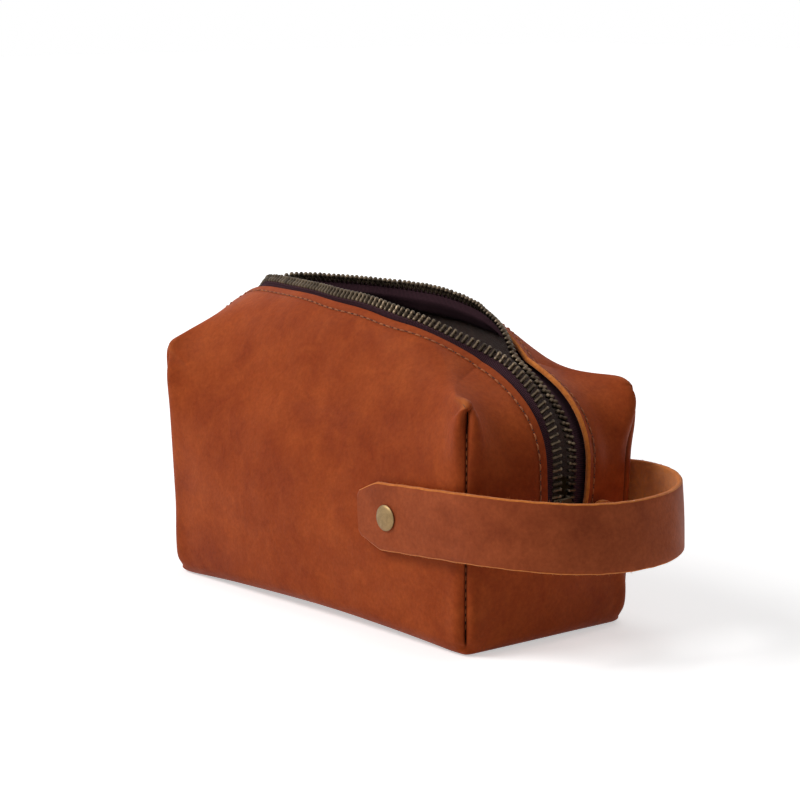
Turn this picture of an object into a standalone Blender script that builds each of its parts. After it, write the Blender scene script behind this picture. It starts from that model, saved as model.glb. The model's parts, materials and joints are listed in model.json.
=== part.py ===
"""Open toiletry bag of brown leather with a metal zipper and a riveted strap handle.

Metres, +Z up. The origin is on the table under the middle of the bag. The bag's
length runs along X, with the strap loop at the +X end, and its front faces -Y.
"""
import math

import bmesh
import bpy
from mathutils import Matrix, Vector

# Leather body
half_length = 0.0954
half_width = 0.0451
corner_height = 0.1022
crown_rise = 0.0295
wall = 0.0020
corner_radius = 0.0084
bottom_radius = 0.0063
dart_radius = 0.0070
side_roll_depth = 0.0254
side_roll_height = 0.0597
right_roll_length = 0.1059
right_roll_height = 0.0392
left_roll_length = 0.0371
left_roll_height = 0.0123
end_bulge = 0.0066
side_bulge = 0.0033
left_top_flare = 0.0019
right_top_flare = 0.0022
low_tuck = 0.0016
side_arch = 0.0030
end_arch = 0.0011
seam_groove = 0.0016
end_seam_height = 0.0382
end_seam_reach = 0.0022
slit_start_step = 0.0024
open_half_width = 0.0225

crown_foot_share = 0.35
crown_power_shares = (1.76, 0.85)
crown_droop_share = 0.17
dart_fade_power_share = 6.8
end_fade_power_share = 3.6
bulge_full_share = 0.60
bulge_foot_share = 0.39
arch_top_share = 0.5
side_arch_start_share = 0.55
end_arch_start_share = 0.75
floor_arch_share = 0.35
foot_length_share = 0.88
foot_width_share = 0.85
groove_span_shares = (0.08, 0.90)
flare_middle_share = 0.4

# Grid of the leather, as shares of the half length, half width and height
length_row_shares = (0.0, 0.2, 0.4, 0.6, 0.76, 0.88, 0.97, 1.0)
width_row_shares = (0.0, 0.2, 0.42, 0.66, 0.85, 0.95, 1.0)
low_row_shares = (0.0, 0.08, 0.28, 0.62)
high_row_shares = (0.22, 0.42, 0.60, 0.76, 0.88, 0.955, 1.0)

# Half width of the zipper slit, as shares of its widest half width
top_slit_shares = ((-1.0, 0.37), (-0.8, 0.38), (-0.5, 0.68), (-0.1, 0.98), (0.3, 1.0),
                   (0.65, 0.76), (0.9, 0.57), (1.0, 0.48))
right_slit_shares = ((0.0, 0.285), (0.1, 0.33), (0.25, 0.39), (0.42, 0.41), (0.6, 0.41), (1.0, 0.48))
left_slit_shares = ((0.0, 0.285), (1.0, 0.37))

# Zipper
tape_thickness = 0.0008
tape_cover = 0.0085
tape_gap = 0.0009
tape_show = 0.0039
tooth_pitch = 0.00254
tooth_width = 0.0013
row_width = 0.0036
row_cord_width = 0.0011
tooth_thickness = 0.0022
tooth_gap = 0.0003
row_gap_start = 0.0003
row_gap_open = 0.0012
row_gap_run = 0.0100
first_tooth_rise = 0.0036
stop_height = 0.0018
stop_rise = 0.0010
stop_side_gap = 0.0006

# Slider, ring and pull tab
slider_rise = 0.0078
slider_length = 0.0110
slider_width = 0.0098
plate_thickness = 0.0011
slider_clearance = 0.00045
slider_post_width = 0.0011
slider_post_length = 0.0024
slider_bevel = 0.0004
bail_length = 0.0068
bail_width = 0.0020
bail_bar = 0.0009
bail_opening_length = 0.0046
bail_opening_height = 0.0048
ring_outset = 0.0013
ring_radius = 0.0044
ring_wire_radius = 0.0006
tab_thickness = 0.0009
tab_layer_gap = 0.0004
tab_length = 0.0235
tab_width = 0.0135
tab_neck_width = 0.0034
tab_fold_radius = 0.0016
tab_neck_end = 0.0085
tab_shoulder_end = 0.0165
tab_rise_degrees = 4.0

# Strap handle and its rivets
strap_width = 0.0265
strap_thickness = 0.0021
strap_side_gap = 0.0011
strap_tab_length = 0.0171
strap_tab_cut_length = 0.0115
strap_tab_cut_height = 0.0050
strap_reach = 0.1472
strap_side_end = 0.0950
strap_inset = 0.0010
strap_side_pull = 0.0200
strap_end_pull = 0.0360
strap_sag = 0.0048
strap_tilt_degrees = 3.5
rivet_x = 0.0565
rivet_z = 0.0492
rivet_cap_radius = 0.0051
rivet_cap_height = 0.0015
rivet_post_radius = 0.0015
rivet_foot_radius = 0.0042
rivet_foot_height = 0.0008
rivet_hole_gap = 0.0003

# Thread
thread_radius = 0.0004
thread_rise = 0.0004
stitch_inset = 0.0036

touch_gap = 0.0003
cutter_overrun = 0.0020
merge_distance = 0.0001
nearly_zero_share = 0.00001
slope_step_share = 0.01
cap_rim_share = 0.25

# Facets
sharp_angle_degrees = 35.0
hole_segments = 24
cap_segments = 20
post_segments = 16
dome_steps = 4
ring_segments = 24
wire_segments = 6
fold_steps = 6
tab_steps = 6
strap_rows = 4
strap_side_steps = 3
strap_bend_steps = 12


def clear_scene():
    for item in list(bpy.data.objects):
        bpy.data.objects.remove(item, do_unlink=True)


def new_collection(name):
    collection = bpy.data.collections.new(name)
    bpy.context.scene.collection.children.link(collection)
    return collection


def new_material(name, colour, roughness, metallic):
    material = bpy.data.materials.new(name)
    material.use_nodes = True
    shader = material.node_tree.nodes["Principled BSDF"]
    shader.inputs["Base Color"].default_value = (*colour, 1.0)
    shader.inputs["Roughness"].default_value = roughness
    shader.inputs["Metallic"].default_value = metallic
    return material


def add_object(name, shape, collection, material=None):
    """Makes an object from a bmesh, and frees the bmesh."""
    bmesh.ops.recalc_face_normals(shape, faces=shape.faces)
    mesh = bpy.data.meshes.new(name)
    shape.to_mesh(mesh)
    shape.free()
    mesh.shade_smooth()
    mesh.set_sharp_from_angle(angle=math.radians(sharp_angle_degrees))
    if material is not None:
        mesh.materials.append(material)
    item = bpy.data.objects.new(name, mesh)
    collection.objects.link(item)
    return item


def hide_cutter(item):
    item.hide_render = True
    item.display_type = "WIRE"
    return item


def cut(item, cutter):
    modifier = item.modifiers.new("cut " + cutter.name, "BOOLEAN")
    modifier.operation = "DIFFERENCE"
    modifier.solver = "EXACT"
    modifier.object = cutter


def unite(item, other):
    modifier = item.modifiers.new("joined " + other.name, "BOOLEAN")
    modifier.operation = "UNION"
    modifier.solver = "EXACT"
    modifier.object = other


def thicken(item, thickness, offset):
    modifier = item.modifiers.new("thickness", "SOLIDIFY")
    modifier.thickness = thickness
    modifier.offset = offset


def ease(value):
    """Rises smoothly from 0 to 1."""
    value = min(max(value, 0.0), 1.0)
    return value * value * (3.0 - 2.0 * value)


def mix(first, second, share):
    return first + (second - first) * share


def read_table(table, place):
    """Reads a table of (place, value) pairs with straight runs between them."""
    for (place_a, value_a), (place_b, value_b) in zip(table, table[1:]):
        if place <= place_b:
            return mix(value_a, value_b, max(place - place_a, 0.0) / (place_b - place_a))
    return table[-1][1]


# The leather surface

def roll_corner(first, second, first_start, second_start, first_radius, second_radius):
    """Bends a square corner into a quarter ellipse beyond the two starts."""
    first_part = max(first - first_start, 0.0) / first_radius
    second_part = max(second - second_start, 0.0) / second_radius
    if first_part == 0.0 or second_part == 0.0:
        return first, second
    shrink = max(first_part, second_part) / math.hypot(first_part, second_part)
    return (first_start + first_part * shrink * first_radius,
            second_start + second_part * shrink * second_radius)


def slit_start_share():
    return (end_seam_height + slit_start_step) / corner_height


def slit_half_width(along, height):
    """Half width of the slit; along is -1 to 1, height is the box height's share."""
    if height >= 1.0:
        return open_half_width * read_table(top_slit_shares, along)
    start = slit_start_share()
    if height <= start + nearly_zero_share:
        return 0.0
    table = right_slit_shares if along > 0.0 else left_slit_shares
    return open_half_width * read_table(table, (height - start) / (1.0 - start))


def bag_point(along, across, height):
    """Places a point of a box's skin on the leather's outer face.

    along and across run from -1 to 1, and height from 0 to 1. Points with across
    just off zero lie on the lips of the slit.
    """
    x_side = -1.0 if along < 0.0 else 1.0
    y_side = -1.0 if across < 0.0 else 1.0
    x = abs(along) * half_length
    lip = slit_half_width(along, height) if 0.0 < height else 0.0
    if abs(along) < 1.0 and height < 1.0:
        lip = 0.0
    y = mix(lip, half_width, abs(across))
    z = height * corner_height

    x, y = roll_corner(x, y, half_length - corner_radius, half_width - corner_radius,
                       corner_radius, corner_radius)
    x_share = x / half_length
    y_share = y / half_width
    fade = x_share ** dart_fade_power_share
    depth = mix(side_roll_depth, dart_radius, fade)
    rise = mix(side_roll_height, dart_radius, fade)
    y, z = roll_corner(y, z, half_width - depth, corner_height - rise, depth, rise)
    fade = y_share ** end_fade_power_share
    run, drop = ((right_roll_length, right_roll_height) if x_side > 0.0
                 else (left_roll_length, left_roll_height))
    run = mix(run, dart_radius, fade)
    drop = mix(drop, dart_radius, fade)
    x, z = roll_corner(x, z, half_length - run, corner_height - drop, run, drop)

    low = corner_height - z
    low_start = corner_height - bottom_radius
    y, low = roll_corner(y, low, half_width - bottom_radius, low_start, bottom_radius, bottom_radius)
    x, low = roll_corner(x, low, half_length - bottom_radius, low_start, bottom_radius, bottom_radius)
    z = corner_height - low
    z_share = z / corner_height

    power = mix(crown_power_shares[0], crown_power_shares[1], x_share * x_share)
    crown = crown_rise * (1.0 - y_share ** power)
    crown *= ease((z_share - crown_foot_share) / (1.0 - crown_foot_share))
    z += crown * (1.0 - crown_droop_share * ease(x_share))
    side_edge = ease((y_share - side_arch_start_share) / (1.0 - side_arch_start_share))
    end_edge = ease((x_share - end_arch_start_share) / (1.0 - end_arch_start_share))
    arch = side_arch * max(1.0 - (x_share / foot_length_share) ** 2, 0.0) * mix(floor_arch_share, 1.0, side_edge)
    arch += end_arch * max(1.0 - (y_share / foot_width_share) ** 2, 0.0) * mix(floor_arch_share, 1.0, end_edge)
    z += arch * (1.0 - ease(z_share / arch_top_share))

    fullness = mix(bulge_foot_share, 1.0, ease(z_share / bulge_full_share))
    end_part = ease((x / half_length) ** 2)
    side_part = ease((y / half_width) ** 2)
    x += end_bulge * (1.0 - y_share ** 2) * fullness * end_part
    y += side_bulge * (1.0 - x_share ** 2) * math.sin(math.pi * min(z_share, 1.0)) * side_part
    flare = 2.0 * min(z_share, 1.0) - 1.0
    flare *= low_tuck if flare < 0.0 else mix(left_top_flare, right_top_flare, (x_side * x_share + 1.0) / 2.0)
    y += flare * y_share ** 3 * mix(flare_middle_share, 1.0, x_share ** 3)
    x += flare * x_share ** 3 * y_share ** 2
    return Vector((x_side * x, y_side * y, z))


def bag_normal(along, across, height, on_end):
    """Outward direction of the leather at a lip or beside it."""
    step = slope_step_share
    if on_end:
        tangent = bag_point(along, across, height + step) - bag_point(along, across, height - step)
    else:
        back = max(along - step, -1.0)
        front = min(along + step, 1.0)
        tangent = bag_point(back, across, height) - bag_point(front, across, height)
        if along < 0.0:
            tangent.negate()
    side = math.copysign(step, across)
    sideways = bag_point(along, across + side, height) - bag_point(along, across, height)
    normal = tangent.cross(sideways).normalized()
    outward = Vector((math.copysign(1.0, along), 0.0, 0.0)) if on_end else Vector((0.0, 0.0, 1.0))
    if normal.dot(outward) < 0.0:
        normal.negate()
    return normal


def body_rows():
    """The grid's heights, as shares of the corner height, with rows at the end seam."""
    seam = end_seam_height / corner_height
    reach = end_seam_reach / corner_height
    start = slit_start_share()
    rows = [share * (seam - reach) for share in low_row_shares]
    rows += [seam - reach, seam, start, start + reach]
    rows += [mix(start + reach, 1.0, share) for share in high_row_shares]
    return rows


def spread(value, shares):
    """Moves an evenly spaced value between -1 and 1 onto a list of shares."""
    place = abs(value) * (len(shares) - 1)
    return math.copysign(shares[round(place)], value)


def make_leather_body(collection, material, cutters):
    rows = body_rows()
    shape = bmesh.new()
    bmesh.ops.create_cube(shape, size=2.0)
    cuts = ((0, 2 * (len(length_row_shares) - 1)), (1, 2 * (len(width_row_shares) - 1)),
            (2, len(rows) - 1))
    for axis, pieces in cuts:
        normal = Vector([1.0 if index == axis else 0.0 for index in range(3)])
        for number in range(1, pieces):
            place = normal * (2.0 * number / pieces - 1.0)
            geometry = shape.verts[:] + shape.edges[:] + shape.faces[:]
            bmesh.ops.bisect_plane(shape, geom=geometry, plane_co=place, plane_no=normal,
                                   dist=nearly_zero_share)
    front_half = [vertex for vertex in shape.verts if vertex.co.y < -nearly_zero_share]
    bmesh.ops.delete(shape, geom=front_half, context="VERTS")
    for vertex in shape.verts:
        along = spread(vertex.co.x, length_row_shares)
        across = spread(vertex.co.y, width_row_shares)
        height = rows[round((vertex.co.z + 1.0) / 2.0 * (len(rows) - 1))]
        vertex.co = bag_point(along, max(across, 0.0), height)
        press_seams(vertex, along, across, height)
    body = add_object("leather_body", shape, collection, material)
    mirror = body.modifiers.new("front half", "MIRROR")
    mirror.use_axis = (False, True, False)
    mirror.merge_threshold = merge_distance
    thicken(body, wall, -1.0)
    for side in (-1.0, 1.0):
        hole = add_round("rivet_hole_%s" % ("front" if side < 0.0 else "rear"),
                         rivet_post_radius + rivet_hole_gap, half_width, cutters)
        hole.location = (rivet_x, side * (half_width + cutter_overrun), rivet_z)
        cut(body, hide_cutter(hole))
    return body


def in_groove(height):
    return groove_span_shares[0] < height < groove_span_shares[1]


def press_seams(vertex, along, across, height):
    """Draws the leather in along its corner seams and the two end seams."""
    seam = end_seam_height / corner_height
    if abs(along) == 1.0 and abs(across) == 1.0 and in_groove(height):
        vertex.co.x -= math.copysign(seam_groove, along) * math.sqrt(0.5)
        vertex.co.y -= math.copysign(seam_groove, across) * math.sqrt(0.5)
    elif abs(along) == 1.0 and abs(height - seam) < nearly_zero_share:
        vertex.co.x -= math.copysign(seam_groove, along)


def add_round(name, radius, depth, collection):
    """A plain cylinder along Y."""
    shape = bmesh.new()
    turn = Matrix.Rotation(math.radians(90.0), 4, "X")
    bmesh.ops.create_cone(shape, cap_ends=True, segments=hole_segments, radius1=radius,
                          radius2=radius, depth=depth, matrix=turn)
    return add_object(name, shape, collection)


# The zipper

def zipper_stations():
    """(along, height, on_end) along the slit, from the right end over the top to the left."""
    rows = [row for row in body_rows() if row > slit_start_share() + nearly_zero_share]
    ends = [(row, True) for row in rows[:-1]]
    tops = [share for share in reversed(length_row_shares)] + [-share for share in length_row_shares[1:]]
    stations = [(1.0, row, on_end) for row, on_end in ends]
    stations += [(along, 1.0, False) for along in tops]
    stations += [(-1.0, row, on_end) for row, on_end in reversed(ends)]
    return stations


def row_tip(lip, rise):
    """Distance from the middle of the slit to the tips of a row of teeth."""
    start = mix(row_gap_start, row_gap_open, min(rise / row_gap_run, 1.0))
    return max(start, lip - tape_show - tooth_gap - row_width)


class ZipperEdge:
    """One side of the zipper at one station of the slit."""

    def __init__(self, along, height, on_end, side):
        tiny = side * nearly_zero_share
        lip_width = slit_half_width(along, height)
        room = half_width - lip_width
        cover = side * tape_cover / room
        stitch = side * stitch_inset / room
        self.lip = bag_point(along, tiny, height)
        self.normal = bag_normal(along, tiny, height, on_end)
        beside = bag_point(along, side * slope_step_share, height)
        self.inward = (self.lip - beside).normalized()
        cover_normal = bag_normal(along, cover, height, on_end)
        depth = wall + tape_gap
        self.cover = bag_point(along, cover, height) - cover_normal * depth
        self.stitch = bag_point(along, stitch, height)
        self.stitch_normal = bag_normal(along, stitch, height, on_end)
        self.seat = self.lip - self.normal * depth
        rise = (height - slit_start_share()) * corner_height
        tip = row_tip(lip_width, rise)
        self.edge = self.seat + self.inward * (lip_width - tip - tooth_gap - row_width)
        middle = self.edge - self.normal * tape_thickness / 2.0
        self.rail = middle + self.inward * tooth_gap
        self.tip = self.rail + self.inward * row_width


def zipper_edges(side):
    return [ZipperEdge(along, height, on_end, side) for along, height, on_end in zipper_stations()]


def make_tape(name, side, collection, material):
    edges = zipper_edges(side)
    shape = bmesh.new()
    bmesh.ops.create_grid(shape, x_segments=len(edges) - 1, y_segments=2, size=1.0)
    for vertex in shape.verts:
        edge = edges[round((vertex.co.x + 1.0) / 2.0 * (len(edges) - 1))]
        vertex.co = (edge.edge, edge.seat, edge.cover)[round(vertex.co.y + 1.0)]
    tape = add_object(name, shape, collection, material)
    outward = tape.data.polygons[0].normal.dot(edges[0].normal)
    thicken(tape, tape_thickness, -1.0 if outward > 0.0 else 1.0)
    return tape


def find_place(points, place):
    """Run index and share of that run at a distance along a list of points."""
    index = 0
    length = (points[1] - points[0]).length
    while index < len(points) - 2 and place > length:
        place -= length
        index += 1
        length = (points[index + 1] - points[index]).length
    return index, place / length


def path_length(points):
    return sum((second - first).length for first, second in zip(points, points[1:]))


def make_teeth(name, side, collection, material):
    """A row of teeth on its cord: a comb whose teeth are drawn out from one strip."""
    edges = zipper_edges(side)
    rails = [edge.rail for edge in edges]
    count = int((path_length(rails) - 2.0 * first_tooth_rise) / tooth_pitch)
    places = []
    for number in range(count):
        start = first_tooth_rise + number * tooth_pitch
        places += [start, start + tooth_width]
    frames = []
    for place in places:
        index, share = find_place(rails, place)
        first, second = edges[index], edges[index + 1]
        frames.append((first.rail.lerp(second.rail, share), first.inward.lerp(second.inward, share)))
    shape = bmesh.new()
    bmesh.ops.create_grid(shape, x_segments=len(frames) - 1, y_segments=1, size=1.0)
    for vertex in shape.verts:
        rail, inward = frames[round((vertex.co.x + 1.0) / 2.0 * (len(frames) - 1))]
        vertex.co = rail + inward * (row_cord_width if vertex.co.y > 0.0 else 0.0)
    shape.edges.ensure_lookup_table()
    for number in range(count):
        rail, inward = frames[2 * number]
        next_rail, next_inward = frames[2 * number + 1]
        root = (rail + next_rail) / 2.0 + inward * row_cord_width
        edge = min(shape.edges, key=lambda item: ((item.verts[0].co + item.verts[1].co) / 2.0
                                                  - root).length)
        drawn = bmesh.ops.extrude_edge_only(shape, edges=[edge])["geom"]
        for vertex in drawn:
            if isinstance(vertex, bmesh.types.BMVert):
                vertex.co += inward * (row_width - row_cord_width)
    row = add_object(name, shape, collection, material)
    thicken(row, tooth_thickness, 0.0)
    return row


def add_block(name, centre, long_way, outward, sizes, collection, material):
    """Adds a box whose X, Y and Z follow long_way, the side way and outward."""
    long_way = long_way.normalized()
    side_way = outward.cross(long_way).normalized()
    outward = long_way.cross(side_way).normalized()
    frame = Matrix((long_way, side_way, outward)).transposed().to_4x4()
    shape = bmesh.new()
    bmesh.ops.create_cube(shape, size=1.0, matrix=frame @ Matrix.Diagonal((*sizes, 1.0)))
    block = add_object(name, shape, collection, material)
    block.location = centre
    return block


def make_stops(collection, material):
    """One stop across both rows at the right end, and one at each row's left end."""
    front = zipper_edges(-1.0)
    rear = zipper_edges(1.0)
    foot = (front[0].tip + rear[0].tip) / 2.0
    up = ((front[1].tip + rear[1].tip) / 2.0 - foot).normalized()
    normal = (front[0].normal + rear[0].normal).normalized()
    span = (rear[0].rail - front[0].rail).length - 2.0 * stop_side_gap
    add_block("zipper_bottom_stop", foot + up * stop_rise, Vector((0.0, 1.0, 0.0)), normal,
              (span, stop_height, tooth_thickness), collection, material)
    for edges, word in ((front, "front"), (rear, "rear")):
        last, before = edges[-1], edges[-2]
        way = (before.rail - last.rail).normalized()
        middle = last.rail.lerp(last.tip, 0.5) + way * stop_rise
        add_block("zipper_top_stop_" + word, middle, last.inward, last.normal,
                  (row_width, stop_height, tooth_thickness), collection, material)


def slider_frame():
    """Middle of the slider on the teeth's middle plane, and its tilt about Y."""
    front = zipper_edges(-1.0)
    rear = zipper_edges(1.0)
    middles = [(a.tip + b.tip) / 2.0 for a, b in zip(front, rear)]
    up = (middles[1] - middles[0]).normalized()
    centre = middles[0] + up * slider_rise
    return centre, math.atan2(up.x, up.z)


def add_box(name, centre, sizes, collection, material=None, bevel=0.0):
    shape = bmesh.new()
    place = Matrix.Translation(centre) @ Matrix.Diagonal((*sizes, 1.0))
    bmesh.ops.create_cube(shape, size=1.0, matrix=place)
    if bevel > 0.0:
        bmesh.ops.bevel(shape, geom=shape.edges[:], offset=bevel, segments=1, affect="EDGES")
    return add_object(name, shape, collection, material)


def plate_offset():
    return tooth_thickness / 2.0 + slider_clearance + plate_thickness / 2.0


def opening_offset():
    return plate_offset() + plate_thickness / 2.0 + bail_opening_height / 2.0


def ring_axis_offset():
    """The ring hangs a little outside the middle of the bail's opening."""
    return opening_offset() + ring_outset


def make_slider(collection, cutters, material):
    """Two plates with the teeth between them, a post that parts the rows, and a bail."""
    centre, tilt = slider_frame()
    plate = (plate_thickness, slider_width, slider_length)
    offset = plate_offset()
    slider = add_box("zipper_slider", (offset, 0.0, 0.0), plate, collection, material, slider_bevel)
    back = add_box("slider_back_plate", (-offset, 0.0, 0.0), plate, cutters, None, slider_bevel)
    post_place = (0.0, 0.0, (slider_length - slider_post_length) / 2.0 - 2.0 * slider_bevel)
    post = add_box("slider_post", post_place,
                   (2.0 * offset, slider_post_width, slider_post_length), cutters)
    bail_height = bail_opening_height + bail_bar + plate_thickness / 2.0
    bail_place = (offset + bail_height / 2.0, 0.0, 0.0)
    bail = add_box("slider_bail", bail_place, (bail_height, bail_width, bail_length), cutters,
                   None, slider_bevel)
    opening = add_box("bail_opening", (opening_offset(), 0.0, 0.0),
                      (bail_opening_height, slider_width, bail_opening_length), cutters)
    cut(bail, opening)
    for piece in (back, post, bail):
        unite(slider, piece)
    for piece in (slider, back, post, bail, opening):
        piece.location = centre
        piece.rotation_euler = (0.0, tilt, 0.0)
    for piece in (back, post, bail, opening):
        hide_cutter(piece)
    return slider


def slider_local(offset_out, offset_up):
    """A point given from the slider's middle, outward and up along the teeth."""
    centre, tilt = slider_frame()
    return centre + Matrix.Rotation(tilt, 3, "Y") @ Vector((offset_out, 0.0, offset_up))


def make_ring(collection, material):
    """The round ring hangs in the bail; its origin is on the axis it swings about."""
    tilt = slider_frame()[1]
    bpy.ops.mesh.primitive_torus_add(major_segments=ring_segments, minor_segments=wire_segments,
                                     major_radius=ring_radius, minor_radius=ring_wire_radius)
    ring = bpy.context.object
    ring.name = "pull_ring"
    ring.data.name = "pull_ring"
    place = Matrix.Translation((0.0, 0.0, -ring_radius))
    ring.data.transform(place @ Matrix.Rotation(math.radians(90.0), 4, "Y"))
    ring.data.shade_smooth()
    ring.data.materials.append(material)
    for owner in list(ring.users_collection):
        owner.objects.unlink(ring)
    collection.objects.link(ring)
    ring.location = slider_local(ring_axis_offset(), 0.0)
    ring.rotation_euler = (0.0, tilt, 0.0)
    return ring


def tab_profile():
    """(distance from the ring's middle, height off its plane) along the folded tab."""
    layer = (tab_thickness + tab_layer_gap) / 2.0
    fold = tab_fold_radius
    bow = ring_radius - math.sqrt(ring_radius ** 2 - (tab_neck_width / 2.0) ** 2)
    middle = ring_radius - bow / 2.0
    upper = [(tab_length, layer), (mix(tab_shoulder_end, tab_length, 0.5), layer),
             (tab_shoulder_end, layer), (tab_neck_end, layer)]
    around = [(middle - fold * math.sin(math.pi * step / fold_steps),
               fold * math.cos(math.pi * step / fold_steps)) for step in range(fold_steps + 1)]
    lower = [(reach, -height) for reach, height in reversed(upper)]
    return upper + around + lower


def tab_half_width(reach, share_across):
    """Half width of the tab: a narrow neck, a shoulder, and a round end."""
    shoulder = ease((reach - tab_neck_end) / (tab_shoulder_end - tab_neck_end))
    return mix(tab_neck_width, tab_width, shoulder) / 2.0 * share_across


def make_pull_tab(collection, material):
    """A strip of leather folded round the ring; its origin is the ring's middle."""
    tilt = slider_frame()[1]
    profile = tab_profile()
    shape = bmesh.new()
    bmesh.ops.create_grid(shape, x_segments=len(profile) - 1, y_segments=tab_steps, size=1.0)
    for vertex in shape.verts:
        reach, off = profile[round((vertex.co.x + 1.0) / 2.0 * (len(profile) - 1))]
        side = vertex.co.y
        width = tab_half_width(reach, side)
        if reach == tab_length:
            reach -= tab_width / 2.0 * (1.0 - math.sqrt(max(1.0 - side * side, 0.0)))
        vertex.co = (off, reach, width)
    tab = add_object("pull_tab", shape, collection, material)
    thicken(tab, tab_thickness, 0.0)
    tab.location = slider_local(ring_axis_offset(), -ring_radius)
    turn = Matrix.Rotation(tilt, 3, "Y") @ Matrix.Rotation(math.radians(tab_rise_degrees), 3, "X")
    tab.rotation_euler = turn.to_euler()
    return tab


# Strap and rivets

def side_face_offset():
    """Y of the leather's outer side face at the rivets."""
    return bag_point(rivet_x / half_length, 1.0, rivet_z / corner_height).y


def strap_face_offset():
    """Y of the strap's middle layer at the rivets."""
    return side_face_offset() + strap_side_gap + strap_thickness / 2.0


def bezier(points, share):
    """A point on the cubic curve of four points."""
    rest = 1.0 - share
    weights = (rest ** 3, 3.0 * rest ** 2 * share, 3.0 * rest * share ** 2, share ** 3)
    return sum((point * weight for point, weight in zip(points, weights)), Vector((0.0, 0.0)))


def strap_plan():
    """Plan of the front half of the strap, from its end to the loop's far point.

    The points are measured from the hinge through the rivets.
    """
    side_y = -strap_face_offset()
    tab = [Vector((reach, side_y)) for reach in
           (-strap_tab_length, -strap_tab_length + strap_tab_cut_length, 0.0)]
    rivet = tab[-1]
    corner = Vector((strap_side_end - rivet_x, side_y + strap_inset))
    way = (corner - rivet).normalized()
    tip = Vector((strap_reach - rivet_x, 0.0))
    bend = (corner, corner + way * strap_side_pull, tip - Vector((0.0, strap_end_pull)), tip)
    side = [rivet.lerp(corner, step / strap_side_steps) for step in range(1, strap_side_steps)]
    return tab + side + [bezier(bend, step / strap_bend_steps) for step in range(strap_bend_steps + 1)]


def make_strap(collection, cutters, material):
    half = strap_plan()
    plan = half + [Vector((point.x, -point.y)) for point in reversed(half[:-1])]
    shape = bmesh.new()
    bmesh.ops.create_grid(shape, x_segments=len(plan) - 1, y_segments=strap_rows, size=1.0)
    reach = strap_reach - strap_side_end
    for vertex in shape.verts:
        number = round((vertex.co.x + 1.0) / 2.0 * (len(plan) - 1))
        point = plan[number]
        half_band = strap_width / 2.0
        if number in (0, len(plan) - 1):
            half_band -= strap_tab_cut_height
        beyond = max(point.x + rivet_x - strap_side_end, 0.0) / reach
        vertex.co = (point.x, point.y, vertex.co.y * half_band - strap_sag * beyond ** 2)
    strap = add_object("strap_handle", shape, collection, material)
    thicken(strap, strap_thickness, 0.0)
    strap.location = (rivet_x, 0.0, rivet_z)
    strap.rotation_euler = (0.0, -math.radians(strap_tilt_degrees), 0.0)
    hole = add_round("strap_hole", rivet_post_radius + rivet_hole_gap,
                     4.0 * half_width, cutters)
    hole.location = strap.location
    cut(strap, hide_cutter(hole))
    return strap


def lathe(name, profile, collection, material, segments):
    """Turns a profile of (radius, height) points about Z with a Screw modifier."""
    shape = bmesh.new()
    points = [shape.verts.new((radius, 0.0, height)) for radius, height in profile]
    for first, second in zip(points, points[1:]):
        shape.edges.new((first, second))
    mesh = bpy.data.meshes.new(name)
    shape.to_mesh(mesh)
    shape.free()
    mesh.materials.append(material)
    item = bpy.data.objects.new(name, mesh)
    collection.objects.link(item)
    screw = item.modifiers.new("turned", "SCREW")
    screw.steps = segments
    screw.render_steps = segments
    screw.use_merge_vertices = True
    screw.merge_threshold = merge_distance
    screw.use_smooth_shade = True
    return item


def make_rivet(side, collection, material):
    """A domed cap outside the strap, and a post with a flat foot inside the bag."""
    word = "front" if side < 0.0 else "rear"
    outer_face = strap_face_offset() + strap_thickness / 2.0 + touch_gap
    inner_face = side_face_offset() - wall - side_bulge / 2.0
    turns = [math.pi / 2.0 * step / dome_steps for step in range(dome_steps + 1)]
    dome = [(rivet_cap_radius * math.sin(turn),
             rivet_cap_height * mix(cap_rim_share, 1.0, math.cos(turn))) for turn in turns]
    cap = lathe("rivet_cap_" + word, dome + [(rivet_cap_radius, 0.0), (0.0, 0.0)],
                collection, material, cap_segments)
    post_top = outer_face - touch_gap
    foot = inner_face - rivet_foot_height
    post_profile = [(0.0, post_top - foot), (rivet_post_radius, post_top - foot),
                    (rivet_post_radius, rivet_foot_height), (rivet_foot_radius, rivet_foot_height),
                    (rivet_foot_radius, 0.0), (0.0, 0.0)]
    post = lathe("rivet_post_" + word, post_profile, collection, material, post_segments)
    for item, place in ((cap, outer_face), (post, foot)):
        item.location = (rivet_x, side * place, rivet_z)
        item.rotation_euler = (-side * math.radians(90.0), 0.0, 0.0)


# Thread

def make_thread(name, points, collection, material):
    """One continuous thread laid along a list of points."""
    curve = bpy.data.curves.new(name, "CURVE")
    curve.dimensions = "3D"
    curve.bevel_depth = thread_radius
    curve.bevel_resolution = 1
    curve.use_fill_caps = True
    spline = curve.splines.new("POLY")
    spline.points.add(len(points) - 1)
    for knot, point in zip(spline.points, points):
        knot.co = (*point, 1.0)
    curve.materials.append(material)
    thread = bpy.data.objects.new(name, curve)
    collection.objects.link(thread)
    return thread


def make_zipper_thread(name, side, collection, material):
    lift = thread_rise + thread_radius
    points = [edge.stitch + edge.stitch_normal * lift for edge in zipper_edges(side)]
    return make_thread(name, points, collection, material)


def make_corner_thread(name, x_side, y_side, collection, material):
    """The thread that shows down in the groove of one corner seam."""
    rows = [row for row in body_rows() if in_groove(row)]
    outward = Vector((x_side, y_side, 0.0)).normalized()
    depth = seam_groove - thread_rise - thread_radius
    points = [bag_point(x_side, y_side, row) - outward * depth for row in rows]
    return make_thread(name, points, collection, material)


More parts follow.
